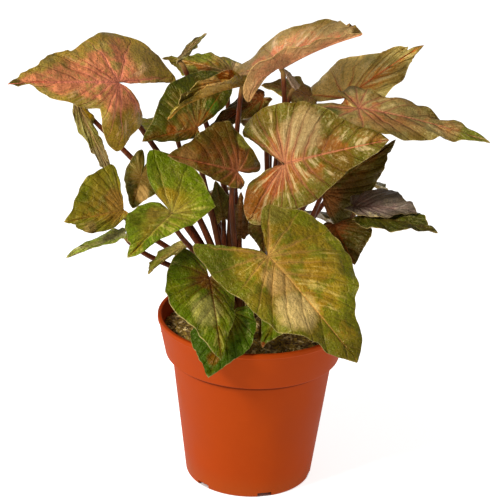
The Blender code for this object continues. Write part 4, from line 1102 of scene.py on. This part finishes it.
def quilting(count, spacing, reach):
    """Rise of a blade between its side veins."""
    between = np.abs(count % 1 - 0.5) * 2
    puff = (1 - (1 - between) ** 2) * np.minimum(1, spacing / QUILT_SPAN)
    return QUILT * puff * smooth_step(0.02, 0.2, reach) * (1 - smooth_step(0.75, 1.0, reach))


def ruffling(rng, reach, height, depth):
    """Rise of the fine ruffle towards the margin, and how far the margin draws in."""
    share = np.linspace(0, 1, reach.shape[1])[None, :, None]
    calm = smooth_step(0.03, 0.12, share) * (1 - 0.5 * smooth_step(0.85, 1.0, share))
    turns, start, swell = rng.uniform(*RUFFLES), rng.random((2, 1, 1)), rng.random((2, 1, 1))
    swing = wavy(turns * share + start) * (0.65 + 0.35 * wavy(2.3 * share + swell))
    nibble = wavy(0.83 * turns * share + swell) + wavy(1.61 * turns * share + start)
    return height * reach**3 * calm * swing, depth * reach**4 * calm * (0.5 + 0.25 * nibble)


def write_facts(mesh, facts):
    """Writes a number for each point of a mesh under each name."""
    for label, values in facts.items():
        attribute = mesh.attributes.new(label, "FLOAT", "POINT")
        attribute.data.foreach_set("value", values.astype(np.float32))


def shell_of(corners, margin, index):
    """Corners and faces of a closed shell: the upper face, the lower one with the next numbers, and the wall
    that joins them round the margin."""
    after = np.roll(margin, -1, 0)
    wall = np.concatenate([np.stack([margin, margin, after], 1), np.stack([margin, after, after], 1)])
    wall_layer = np.repeat([[0, 1, 1], [0, 1, 0]], len(margin), 0)
    flat_layer = np.zeros((len(corners), 3), int)
    layers = np.concatenate([flat_layer, flat_layer + 1, wall_layer])
    corners = np.concatenate([corners, corners[:, ::-1], wall])
    return corners, index[tuple(np.moveaxis(corners, -1, 0))] + layers * (index.max() + 1)


def make_blade(name, leaf, material, seed, ruffled):
    """The blade as a thin closed shell, quilted between its veins, ridged below and ruffled at its margin."""
    rng = np.random.default_rng(seed)
    length = np.linalg.norm(np.subtract(leaf.tip, leaf.joint))
    grid = FINE_GRID if length >= LARGE_BLADE else SMALL_GRID
    places, flat, count, reach, scale, _ = laid_out(leaf, grid)
    outward = places[:, :, -1:] - places[:, :, -4:-3]
    outward /= np.maximum(np.linalg.norm(outward, axis=-1, keepdims=True), 1e-9)
    index = grid_index(grid[0], grid[0] + grid[1], grid[2])
    corners, margin = face_corners(index)
    side = np.array([1, -1])[:, None, None]
    level = np.stack([flat[..., 0], flat[..., 1] * side], -1)
    rib, lobe_rib, spacing, margin_gap = measures(flat, count, reach, scale, length)

    set_apart = np.full((*reach.shape, 1), seed)
    uneven = crumpled(np.concatenate([level * scale, set_apart], -1)) * smooth_step(0.0, 0.3, reach)
    ruffle, nibble = ruffling(rng, reach, RUFFLE * ruffled * length, NIBBLE * length)
    places = places - outward * nibble[..., None]
    lift = quilting(count, spacing, reach) + uneven + ruffle - RIB_GROOVE * np.exp(-(rib**2))
    rib_ridge = RIB_RIDGE * np.clip(1 - 0.9 * flat[..., 0], 0, 1) * np.exp(-(rib**2))
    lobe_ridge = 0.5 * RIB_RIDGE * (1 - reach) * np.exp(-(lobe_rib**2)) * smooth_step(0, 0.05, reach)
    flesh = FLESH_THICKNESS + (MARGIN_THICKNESS - FLESH_THICKNESS) * reach
    depth = flesh + np.maximum(rib_ridge, lobe_ridge)

    total = index.max() + 1

    def by_point(values):
        spread = np.zeros((total, *values.shape[3:]))
        spread[index] = values
        return spread

    points = by_point(places)
    normals = point_normals(points, index[tuple(np.moveaxis(corners, -1, 0))])
    upper = points + normals * by_point(lift)[:, None]
    lower = upper - normals * by_point(depth)[:, None]
    corners, faces = shell_of(corners, margin, index)
    blade = link_mesh(name + "_blade", np.vstack([upper, lower]), faces, material)

    keys = tuple(np.moveaxis(corners, -1, 0).reshape(3, -1))
    flat_mm = level * scale * 1000 + rng.uniform(0, PATTERN_SHIFT, 2)
    for label, values in (("veins", np.stack([count, reach], -1)), ("flat", flat_mm)):
        layer = blade.data.uv_layers.new(name=label)
        layer.data.foreach_set("uv", values[keys].astype(np.float32).ravel())
    facts = {"rib": rib, "lobe_rib": lobe_rib, "spacing": spacing * 1000, "margin": margin_gap * 1000}
    facts |= {"ahead": level[..., 0], "left": level[..., 1]}
    both_faces = {label: np.tile(by_point(values), 2) for label, values in facts.items()}
    write_facts(blade.data, both_faces | {"below": np.repeat([0.0, 1.0], total)})
    stand_for(blade, name)


def stalk_path(leaf):
    """Points along a leaf stalk, from inside its cane to just inside the blade's joint."""
    x, y = CANES[leaf.stem]
    joint, sway = np.array(leaf.joint), np.array(leaf.sway)
    normal = laid_out(leaf, (6, 6, 3))[-1]
    drop = max(0.0, -math.radians(min(leaf.left.fold, leaf.right.fold)))
    end = joint - normal * (BLADE_THICKNESS + GAP + STALK_TOP_RADIUS * math.tan(drop))
    start = np.array([x, y, SOIL_TOP + STALK_FOOT_RISE + STALK_CLIMB * (joint[2] - SOIL_TOP)])
    reach = np.linalg.norm(end - start)
    rising = start + (0, 0, STALK_UPRIGHT * reach) + STALK_LEAN * (end - start) + sway
    arriving = end - normal * min(STALK_ARRIVAL, 0.3 * reach) - STALK_SWEEP * (end - start) + sway
    neck = end - normal * STALK_NECK
    t = np.linspace(0, 1, STALK_STEPS)[:, None]
    rest = 1 - t
    curve = rest**3 * start + 3 * rest**2 * t * rising + 3 * rest * t**2 * arriving + t**3 * neck
    return np.vstack([curve, end, joint - normal * FLESH_THICKNESS / 2])


def tube(path, radii, sides):
    """Points and faces of a round tube along a path, with flat ends and no twist along it."""
    path = np.asarray(path)
    heading = np.gradient(path, axis=0)
    heading /= np.linalg.norm(heading, axis=1)[:, None]
    side = np.cross(heading[0], (0.3, 0.9, 0.2))
    points = []
    for centre, forward, radius in zip(path, heading, radii):
        side = side - forward * (side @ forward)
        side /= np.linalg.norm(side)
        other = np.cross(forward, side)
        for index in range(sides):
            angle = math.tau * index / sides
            points.append(centre + radius * (math.cos(angle) * side + math.sin(angle) * other))
    faces = [tuple(range(sides))[::-1], tuple(range(len(points) - sides, len(points)))]
    for ring in range(len(path) - 1):
        for index in range(sides):
            after = (index + 1) % sides
            low, high = ring * sides, (ring + 1) * sides
            faces.append((low + index, low + after, high + after, high + index))
    return points, faces


def stalk_radii(rng):
    """Radii along a stalk: a sheath at its foot, a slow taper with faint swellings, a knee at the neck."""
    t = np.linspace(0, 1, STALK_STEPS)
    radii = STALK_FOOT_RADIUS + (STALK_TOP_RADIUS - STALK_FOOT_RADIUS) * t**0.8
    radii = radii + 0.0006 * np.exp(-((t / 0.1) ** 2)) + 0.00018 * np.exp(-(((t - 0.97) / 0.03) ** 2))
    radii = radii * (1 + 0.03 * np.sin(math.tau * (3.1 * t + rng.random())))
    return np.concatenate([radii, [STALK_TOP_RADIUS, STALK_TIP_RADIUS]])


def make_stem(place, material, seed):
    """A short cane standing in the soil, with the stalks that grow from it."""
    rng = np.random.default_rng(seed)
    leaves = [leaf for leaf in LEAVES.values() if leaf.stem == place]
    x, y = CANES[place]
    top = max(stalk_path(leaf)[0][2] for leaf in leaves) + CANE_ABOVE
    heights = (CANE_FOOT, SOIL_TOP, (SOIL_TOP + top) / 2, top)
    up = np.linspace(0, 3, CANE_LEVELS)
    levels, radii = np.interp(up, range(4), heights), CANE_RADIUS * np.interp(up, range(4), CANE_TAPER)
    parts = [tube([(x, y, z) for z in levels], radii, CANE_SIDES)]
    along = [np.zeros(CANE_LEVELS * CANE_SIDES)]
    for leaf in leaves:
        path = stalk_path(leaf)
        parts.append(tube(path, stalk_radii(rng), STALK_SIDES))
        along.append(np.repeat(np.linspace(0, 1, len(path)), STALK_SIDES))
    stem = link_mesh(f"stem_{place}_stalks", *merged(parts), material)
    write_facts(stem.data, {"along": np.concatenate(along)})
    stand_for(stem, f"stem_{place}")


@dataclass(frozen=True)
class Value:
    """A node's output. Arithmetic with it adds nodes to its graph."""

    graph: object
    socket: object

    def __add__(self, other):
        return self.graph.math("ADD", self, other)

    def __sub__(self, other):
        return self.graph.math("SUBTRACT", self, other)

    def __mul__(self, other):
        return self.graph.math("MULTIPLY", self, other)

    def __truediv__(self, other):
        return self.graph.math("DIVIDE", self, other)

    def __abs__(self):
        return self.graph.math("ABSOLUTE", self)

    def fraction(self):
        return self.graph.math("FRACT", self)

    def root(self):
        return self.graph.math("SQRT", self)

    def at_least(self, other):
        return self.graph.math("MAXIMUM", self, other)

    def smooth(self, low, high, start=0.0, end=1.0):
        """Runs smoothly from start to end as the value goes from low to high."""
        feeds = {"Value": self, "From Min": low, "From Max": high, "To Min": start, "To Max": end}
        return self.graph.value("ShaderNodeMapRange", feeds, interpolation_type="SMOOTHSTEP")


class Graph:
    """Adds nodes to a tree. A fed value is a number, a colour or the Value that it comes from."""

    def __init__(self, tree):
        self.nodes, self.links = tree.nodes, tree.links

    def feed(self, socket, value):
        if isinstance(value, Value):
            self.links.new(value.socket, socket)
        else:
            socket.default_value = value

    def node(self, kind, feeds=None, **settings):
        node = self.nodes.new(kind)
        for name, value in settings.items():
            setattr(node, name, value)
        for key, value in (feeds or {}).items():
            self.feed(node.inputs[key], value)
        return node

    def value(self, kind, feeds=None, output=0, **settings):
        """One output of a new node."""
        return Value(self, self.node(kind, feeds, **settings).outputs[output])

    def values(self, kind, feeds=None, **settings):
        """All outputs of a new node, by name."""
        return {socket.name: Value(self, socket) for socket in self.node(kind, feeds, **settings).outputs}

    def group(self, tree, feeds=None):
        return self.values("ShaderNodeGroup", feeds, node_tree=tree)

    def math(self, operation, *values):
        return self.value("ShaderNodeMath", dict(enumerate(values)), operation=operation)

    def vector(self, operation, feeds):
        return self.value("ShaderNodeVectorMath", feeds, operation=operation)

    def split(self, vector):
        return self.values("ShaderNodeSeparateXYZ", {0: vector}).values()

    def mix(self, share, first, second, blend="MIX"):
        feeds = {0: share, 6: first, 7: second}
        return self.value("ShaderNodeMix", feeds, 2, data_type="RGBA", blend_type=blend)

    def noise(self, vector, scale, detail=2.0, roughness=0.5):
        feeds = {"Vector": vector, "Scale": scale, "Detail": detail, "Roughness": roughness}
        return self.value("ShaderNodeTexNoise", feeds)

    def place(self):
        return self.value("ShaderNodeTexCoord", output="Object")

    def stretched(self, place, scale):
        return self.value("ShaderNodeMapping", {"Vector": place, "Scale": scale})

    def uv(self, name):
        return self.value("ShaderNodeUVMap", uv_map=name)

    def fact(self, name):
        return self.value("ShaderNodeAttribute", output="Fac", attribute_name=name)

    def bump(self, height, distance, strength=1.0):
        return self.value("ShaderNodeBump", {"Height": height, "Distance": distance, "Strength": strength})


def from_joint(g, ahead=0.0, left=0.0):
    """Distance on a blade from a place given in shares of its midrib, the joint if none is."""
    x, y = g.fact("ahead") - ahead, g.fact("left") - left
    return (x * x + y * y).root()


def new_group(name, inputs, outputs, kind="NodeSocketFloat"):
    """An empty shader node group with named sockets, its graph and what it is given."""
    tree = bpy.data.node_groups.new(name, "ShaderNodeTree")
    for label, value in inputs.items():
        given_kind = "NodeSocketColor" if isinstance(value, tuple) else "NodeSocketFloat"
        tree.interface.new_socket(name=label, in_out="INPUT", socket_type=given_kind).default_value = value
    for label in outputs:
        tree.interface.new_socket(name=label, in_out="OUTPUT", socket_type=kind)
    graph = Graph(tree)
    return tree, graph, graph.values("NodeGroupInput")


def veins_group():
    """Masks of a blade's ribs and side veins, their dark cores, the glow beside them, the crests between them
    and the fine net, and the height of all of it."""
    tree, g, given = new_group(
        "leaf veins",
        {"Rib width": 1.0, "Vein width": 0.5, "Groove": 0.5},
        ("Rib", "Vein", "Core", "Halo", "Crest", "Net", "Height"),
    )
    flat, spacing = g.uv("flat"), g.fact("spacing")
    count, reach, _ = g.split(g.uv("veins"))
    count = count + (g.noise(flat, 0.11) - 0.5) * 0.35

    def line(share, taper, times=1.0):
        """Lines along the side veins, share of their width wide, times as many, tapering to the margin."""
        away = abs((count * times).fraction() - 0.5) * spacing / times
        half = given["Vein width"] * share * reach.smooth(0.0, 1.0, 1.0, taper)
        return (away / half).smooth(0.35, 1.3, 1.0, 0.0)

    rib_away, lobe_away = (g.fact(rib) / given["Rib width"] for rib in ("rib", "lobe_rib"))
    lobe = lobe_away.smooth(0.5, 1.3, 1.0, 0.0) * reach.smooth(0.45, 0.95, 0.85, 0.0)
    vein, wide, fine = line(1.0, 0.35), line(4.0, 0.3), line(0.42, 0.6, times=5.0)
    voronoi = {"Vector": flat, "Scale": 0.42}
    cells = g.value("ShaderNodeTexVoronoi", voronoi, "Distance", feature="DISTANCE_TO_EDGE")
    net = (fine * 0.7).at_least(cells.smooth(0.01, 0.12, 1.0, 0.0) * 0.55)
    pores, puckers = g.noise(flat, 2.6, 3.0), g.noise(flat, 0.32)
    masks = {
        "Rib": rib_away.smooth(0.55, 1.25, 1.0, 0.0).at_least(lobe),
        "Vein": vein,
        "Core": line(0.45, 0.5).at_least(rib_away.smooth(0.1, 0.42, 1.0, 0.0)),
        "Halo": wide.at_least(rib_away.smooth(1.0, 4.0, 1.0, 0.0)),
        "Crest": abs(count.fraction() - 0.5).smooth(0.12, 0.34),
        "Net": net,
        "Height": pores * 0.05 - net * 0.2 + puckers * 1.1 - (vein * 0.5 + wide * 0.6) * given["Groove"],
    }
    g.node("NodeGroupOutput", masks)
    return tree


def mottle_group():
    """Noise on a blade: clouds, blotches, streaks along its side veins, fine grain, and thin curly painted
    glints.
    """
    tree, g, _ = new_group("leaf mottle", {}, ("Cloud", "Blotch", "Streak", "Grain", "Painted_glint"))
    flat = g.uv("flat")
    count, reach, _ = g.split(g.uv("veins"))
    shift, _, _ = g.split(flat)
    along = g.value("ShaderNodeCombineXYZ", {"X": count * 4.5, "Y": reach * 1.6, "Z": shift * 0.02})
    contour = abs(g.noise(flat, 0.17) - 0.5)
    masks = {
        "Cloud": g.noise(flat, 0.035, 3.0),
        "Blotch": g.noise(flat, 0.075, 4.0, 0.6),
        "Streak": g.noise(along, 1.0, 3.0, 0.6),
        "Grain": g.noise(flat, 0.9, 4.0, 0.65),
        # mask of thin curly painted highlights
        "Painted_glint": contour.smooth(0.0, 0.022, 1.0, 0.0) * g.noise(flat, 0.06).smooth(0.5, 0.62),
    }
    g.node("NodeGroupOutput", masks)
    return tree


def spot_group():
    """Lays a soft-edged spot of another tone at a place on a blade."""
    grey = (0.5, 0.5, 0.5, 1.0)
    inputs = {"Base": grey, "Spot": grey, "Ahead": 0.0, "Left": 0.0, "Radius": 1.0, "Blotch": 0.5}
    tree, g, given = new_group("leaf spot", inputs, ("Color",), "NodeSocketColor")
    away = from_joint(g, given["Ahead"], given["Left"]) / given["Radius"]
    mask = (away + (given["Blotch"] - 0.5) * 1.1).smooth(0.65, 1.15, 1.0, 0.0)
    g.node("NodeGroupOutput", {"Color": g.mix(mask, given["Base"], given["Spot"])})
    return tree


def new_material(name, roughness=0.5, gloss=0.3, gloss_tint=(1.0, 1.0, 1.0, 1.0)):
    material = bpy.data.materials.new(name)
    material.use_nodes = True
    shader = material.node_tree.nodes["Principled BSDF"].inputs
    shader["Roughness"].default_value = roughness
    shader["Specular IOR Level"].default_value = gloss
    shader["Specular Tint"].default_value = gloss_tint
    return material, Graph(material.node_tree), shader


def leaf_ground(g, look, mottle, spot_tree, reach):
    """A blade's centre, flesh and edge tones, with blotches and spots."""
    blotch = mottle["Blotch"]
    uneven = reach + (blotch - 0.5) + (mottle["Streak"] - 0.5) * 0.5
    centre = uneven.smooth(look.spread - 0.25, look.spread + 0.2, 1.0, 0.0)
    colour = g.mix(centre, srgb(*look.flesh), srgb(*look.centre))
    colour = g.mix(uneven.smooth(0.56, 0.96), colour, srgb(*look.edge))
    high = 0.66 - 0.3 * look.blotches
    fleck = (blotch + (mottle["Grain"] - 0.5) * 0.2).smooth(high - 0.06, high + 0.06) * 0.85
    colour = g.mix(fleck, colour, srgb(*look.fleck))
    for ahead, left, radius, tone in look.spots:
        feeds = {"Base": colour, "Spot": srgb(*tone), "Ahead": ahead, "Left": left, "Radius": radius}
        colour = g.group(spot_tree, feeds | {"Blotch": blotch})["Color"]
    return colour


def leaf_streaks(g, look, colour, mottle, crest, reach):
    """Dark streaks between the side veins, pale streaks of painted sheen there, and thin painted glints."""
    streak = mottle["Streak"]
    dark = streak.smooth(0.36, 0.47, 0.4, 0.0) * reach.smooth(0.1, 0.5)
    colour = g.mix(dark, colour, srgb(*look.edge))
    low = 0.64 - 0.3 * look.shine
    # painted sheen: pale streaks on the crests between the side veins
    pale = crest * streak.smooth(0.48, 0.60) * reach.smooth(0.7, 0.95, 1.0, 0.2)
    pale = pale * mottle["Cloud"].smooth(low - 0.05, low + 0.09, 0.0, 0.75)
    colour = g.mix(pale, colour, srgb(*look.painted_sheen))
    # painted glints: thin curly highlights in a pale tone
    return g.mix(mottle["Painted_glint"] * (0.45 * look.shine), colour, srgb(*PAINTED_GLINT))


def leaf_veins(g, look, colour, veins, blotch):
    """Coloured veins: strongest near the joint, with a glow beside them and dark cores there."""
    near = (from_joint(g) + blotch * 0.3).smooth(0.15, 0.75, 1.0, 0.0)
    layers = (
        veins["Net"] * (0.14 * look.veining),
        veins["Halo"] * near * (0.6 * look.veining),
        veins["Vein"] * near.smooth(0.0, 1.0, 0.2 * look.veining, 0.95 * look.veining),
        veins["Rib"] * min(1.0, look.veining + 0.1),
    )
    for layer in layers:
        colour = g.mix(layer, colour, srgb(*look.vein))
    return g.mix(veins["Core"] * near * 0.75, colour, srgb(*(0.6 * part for part in look.vein)))


def leaf_material(name, look, groups):
    """Waxy leaf: mottled tones, streaks with painted sheen and glints, coloured veins, a pale rim and another
    tone below.
    """
    material, g, shader = new_material(name, gloss=0.25, gloss_tint=WARM_GLOSS)
    veins = g.group(groups["veins"], {"Rib width": 0.9, "Vein width": 0.42, "Groove": look.relief})
    mottle = g.group(groups["mottle"])
    cloud, blotch, grain = mottle["Cloud"], mottle["Blotch"], mottle["Grain"]
    _, reach, _ = g.split(g.uv("veins"))
    colour = leaf_ground(g, look, mottle, groups["spot"], reach)
    colour = leaf_streaks(g, look, colour, mottle, veins["Crest"], reach)
    colour = g.mix(1.0, colour, WARMTH, "MULTIPLY")
    colour = leaf_veins(g, look, colour, veins, blotch)
    rim = g.fact("margin").smooth(0.1, 0.6, 1.0, 0.0) * blotch.smooth(0.42, 0.6, 0.05, 0.6)
    colour = g.mix(rim, colour, srgb(*CREAM))
    colour = g.mix(g.fact("below") * 0.6, colour, srgb(*look.below))
    light = grain.smooth(0.3, 0.7, 0.84 * look.light, 1.18 * look.light)
    light = light * cloud.smooth(0.35, 0.65, 0.79, 1.25)
    light = g.value("ShaderNodeCombineXYZ", {"X": light, "Y": light, "Z": light})
    g.feed(shader["Base Color"], g.mix(1.0, colour, light, "MULTIPLY"))
    g.feed(shader["Roughness"], grain.smooth(0.3, 0.7, 0.24, 0.4))
    g.feed(shader["Normal"], g.bump(veins["Height"], 0.0013))
    return material


def stalk_material():
    """Maroon leaf stalk, greener and paler near its foot, with fine streaks along it."""
    material, g, shader = new_material("maroon stalk", gloss=0.2, gloss_tint=WARM_GLOSS)
    place, along = g.place(), g.fact("along")
    streak = g.noise(g.stretched(place, (1600, 1600, 130)), 1.0, 3.0, 0.6)
    patch = g.noise(place, 70.0, 3.0)
    colour = g.mix(streak.smooth(0.35, 0.7), srgb(*STALK_DARK), srgb(*STALK_RED))
    foot = (along + patch * 0.5).smooth(0.15, 0.6, 0.8, 0.0)
    colour = g.mix(foot, colour, srgb(*STALK_FOOT_TONE))
    colour = g.mix(along.smooth(0.9, 0.97, 0.0, 0.7), colour, srgb(*STALK_NECK_TONE))
    g.feed(shader["Base Color"], colour)
    g.feed(shader["Roughness"], patch.smooth(0.3, 0.7, 0.35, 0.55))
    g.feed(shader["Normal"], g.bump(streak, 0.0002, 0.6))
    return material


def pot_material():
    """Satin moulded plastic, terracotta orange, faintly mottled, scuffed and dusty, with painted shade under
    its collar.
    """
    material, g, shader = new_material("terracotta plastic", gloss=0.06, gloss_tint=WARM_GLOSS)
    place = g.place()
    _, _, height = g.split(place)
    cloud, grain = g.noise(place, 38.0, 4.0, 0.55), g.noise(place, 2600.0)
    scuffs = g.noise(g.stretched(place, (60, 60, 900)), 1.0, 4.0, 0.7).smooth(0.66, 0.78)
    colour = g.mix(cloud, srgb(*TERRACOTTA_DEEP), srgb(*TERRACOTTA))
    colour = g.mix(scuffs * 0.22, colour, srgb(*SCUFF))
    colour = g.mix((height + cloud * 0.012).smooth(0.006, 0.022, 0.3, 0.0), colour, srgb(*DUST))
    # painted shade: a dark line just under the collar's ledge
    painted_collar_shade = abs(height - COLLAR_SHADE_Z).smooth(0.0007, 0.0016, 0.75, 0.0)
    g.feed(shader["Base Color"], g.mix(painted_collar_shade, colour, srgb(*COLLAR_SHADE)))
    g.feed(shader["Roughness"], cloud.smooth(0.3, 0.7, 0.54, 0.66))
    g.feed(shader["Normal"], g.bump(grain * 0.5 + cloud * 0.5, 0.00012, 0.5))
    return material


def earth_material(kind):
    """Crumbly stuff in two tones."""
    dark, light, scale, roughness = EARTHS[kind]
    material, g, shader = new_material(kind)
    place = g.place()
    broad, fine = g.noise(place, scale, 5.0, 0.7), g.noise(place, scale * 7, 3.0)
    g.feed(shader["Base Color"], g.mix(broad.smooth(0.38, 0.64), srgb(*dark), srgb(*light)))
    g.feed(shader["Roughness"], fine.smooth(0.3, 0.7, roughness - 0.1, roughness))
    g.feed(shader["Normal"], g.bump(fine, 0.0006, 0.9))
    return material


def look_through():
    """The camera at the photograph's height, distance and tilt."""
    camera = bpy.data.objects.new("camera", bpy.data.cameras.new("camera"))
    ahead = Vector((0, math.cos(ELEVATION), -math.sin(ELEVATION)))
    right, up = Vector((1, 0, 0)), Vector((0, math.sin(ELEVATION), math.cos(ELEVATION)))
    cosine, sine = math.cos(CAMERA_ROLL), math.sin(CAMERA_ROLL)
    turned_right, turned_up = cosine * right + sine * up, cosine * up - sine * right
    matrix = Matrix((turned_right, turned_up, -ahead)).transposed().to_4x4()
    matrix.translation = Vector(AIM) - DISTANCE * ahead
    camera.matrix_world = matrix
    camera.data.lens = LENS
    camera.data.clip_start = NEAREST
    bpy.context.scene.collection.objects.link(camera)
    bpy.context.scene.camera = camera


def add_light(name, place, size, power, colour):
    light = bpy.data.lights.new(name, "AREA")
    light.shape = "DISK"
    light.size, light.energy, light.color = size, power, colour
    obj = bpy.data.objects.new(name, light)
    obj.location = place
    obj.rotation_euler = (Vector(LIGHT_AIM) - Vector(place)).to_track_quat("-Z", "Y").to_euler()
    bpy.context.scene.collection.objects.link(obj)


def make_floor():
    """A pale floor that glows as a lit backdrop does, but not under the pot, where the missing glow paints
    shade.
    """
    half = FLOOR_HALF
    corners = [(-half, -half, 0), (half, -half, 0), (half, half, 0), (-half, half, 0)]
    floor = link_mesh("floor", corners, [(0, 1, 2, 3)])
    material, g, shader = new_material("pale floor", 0.9)
    place = g.place()
    g.feed(shader["Base Color"], g.mix(g.noise(place, 30.0), (0.78, 0.78, 0.78, 1), (0.82, 0.82, 0.82, 1)))
    shader["Emission Color"].default_value = (1, 1, 1, 1)
    # no glow under the pot's base: painted shade there
    from_pot = g.value("ShaderNodeVectorMath", {0: place}, "Value", operation="LENGTH")
    g.feed(shader["Emission Strength"], from_pot.smooth(BASE_RADIUS - 0.001, BASE_RADIUS, 0.0, FLOOR_GLOW))
    floor.data.materials.append(material)


def make_studio():
    """The floor, a soft key light from the left, a fill from the right and a bright sky."""
    make_floor()
    for name, light in LIGHTS.items():
        add_light(name, *light)
    world = bpy.data.worlds.new("studio")
    world.use_nodes = True
    sky = world.node_tree.nodes["Background"].inputs
    sky["Color"].default_value = (1, 1, 1, 1)
    sky["Strength"].default_value = SKY
    bpy.context.scene.world = world
    bpy.context.scene.view_settings.view_transform = "Standard"


def main():
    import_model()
    look_through()
    make_studio()
    make_pot(pot_material())
    bed = make_soil(earth_material("potting mix"))
    make_grains(bed)
    stalk = stalk_material()
    for seed, place in enumerate(CANES):
        make_stem(place, stalk, seed)
    groups = {"veins": veins_group(), "mottle": mottle_group(), "spot": spot_group()}
    for seed, (name, leaf) in enumerate(LEAVES.items(), FIRST_BLADE_SEED):
        look = LOOKS[name]
        make_blade(name, leaf, leaf_material(name, look, groups), seed, look.ruffle)


main()
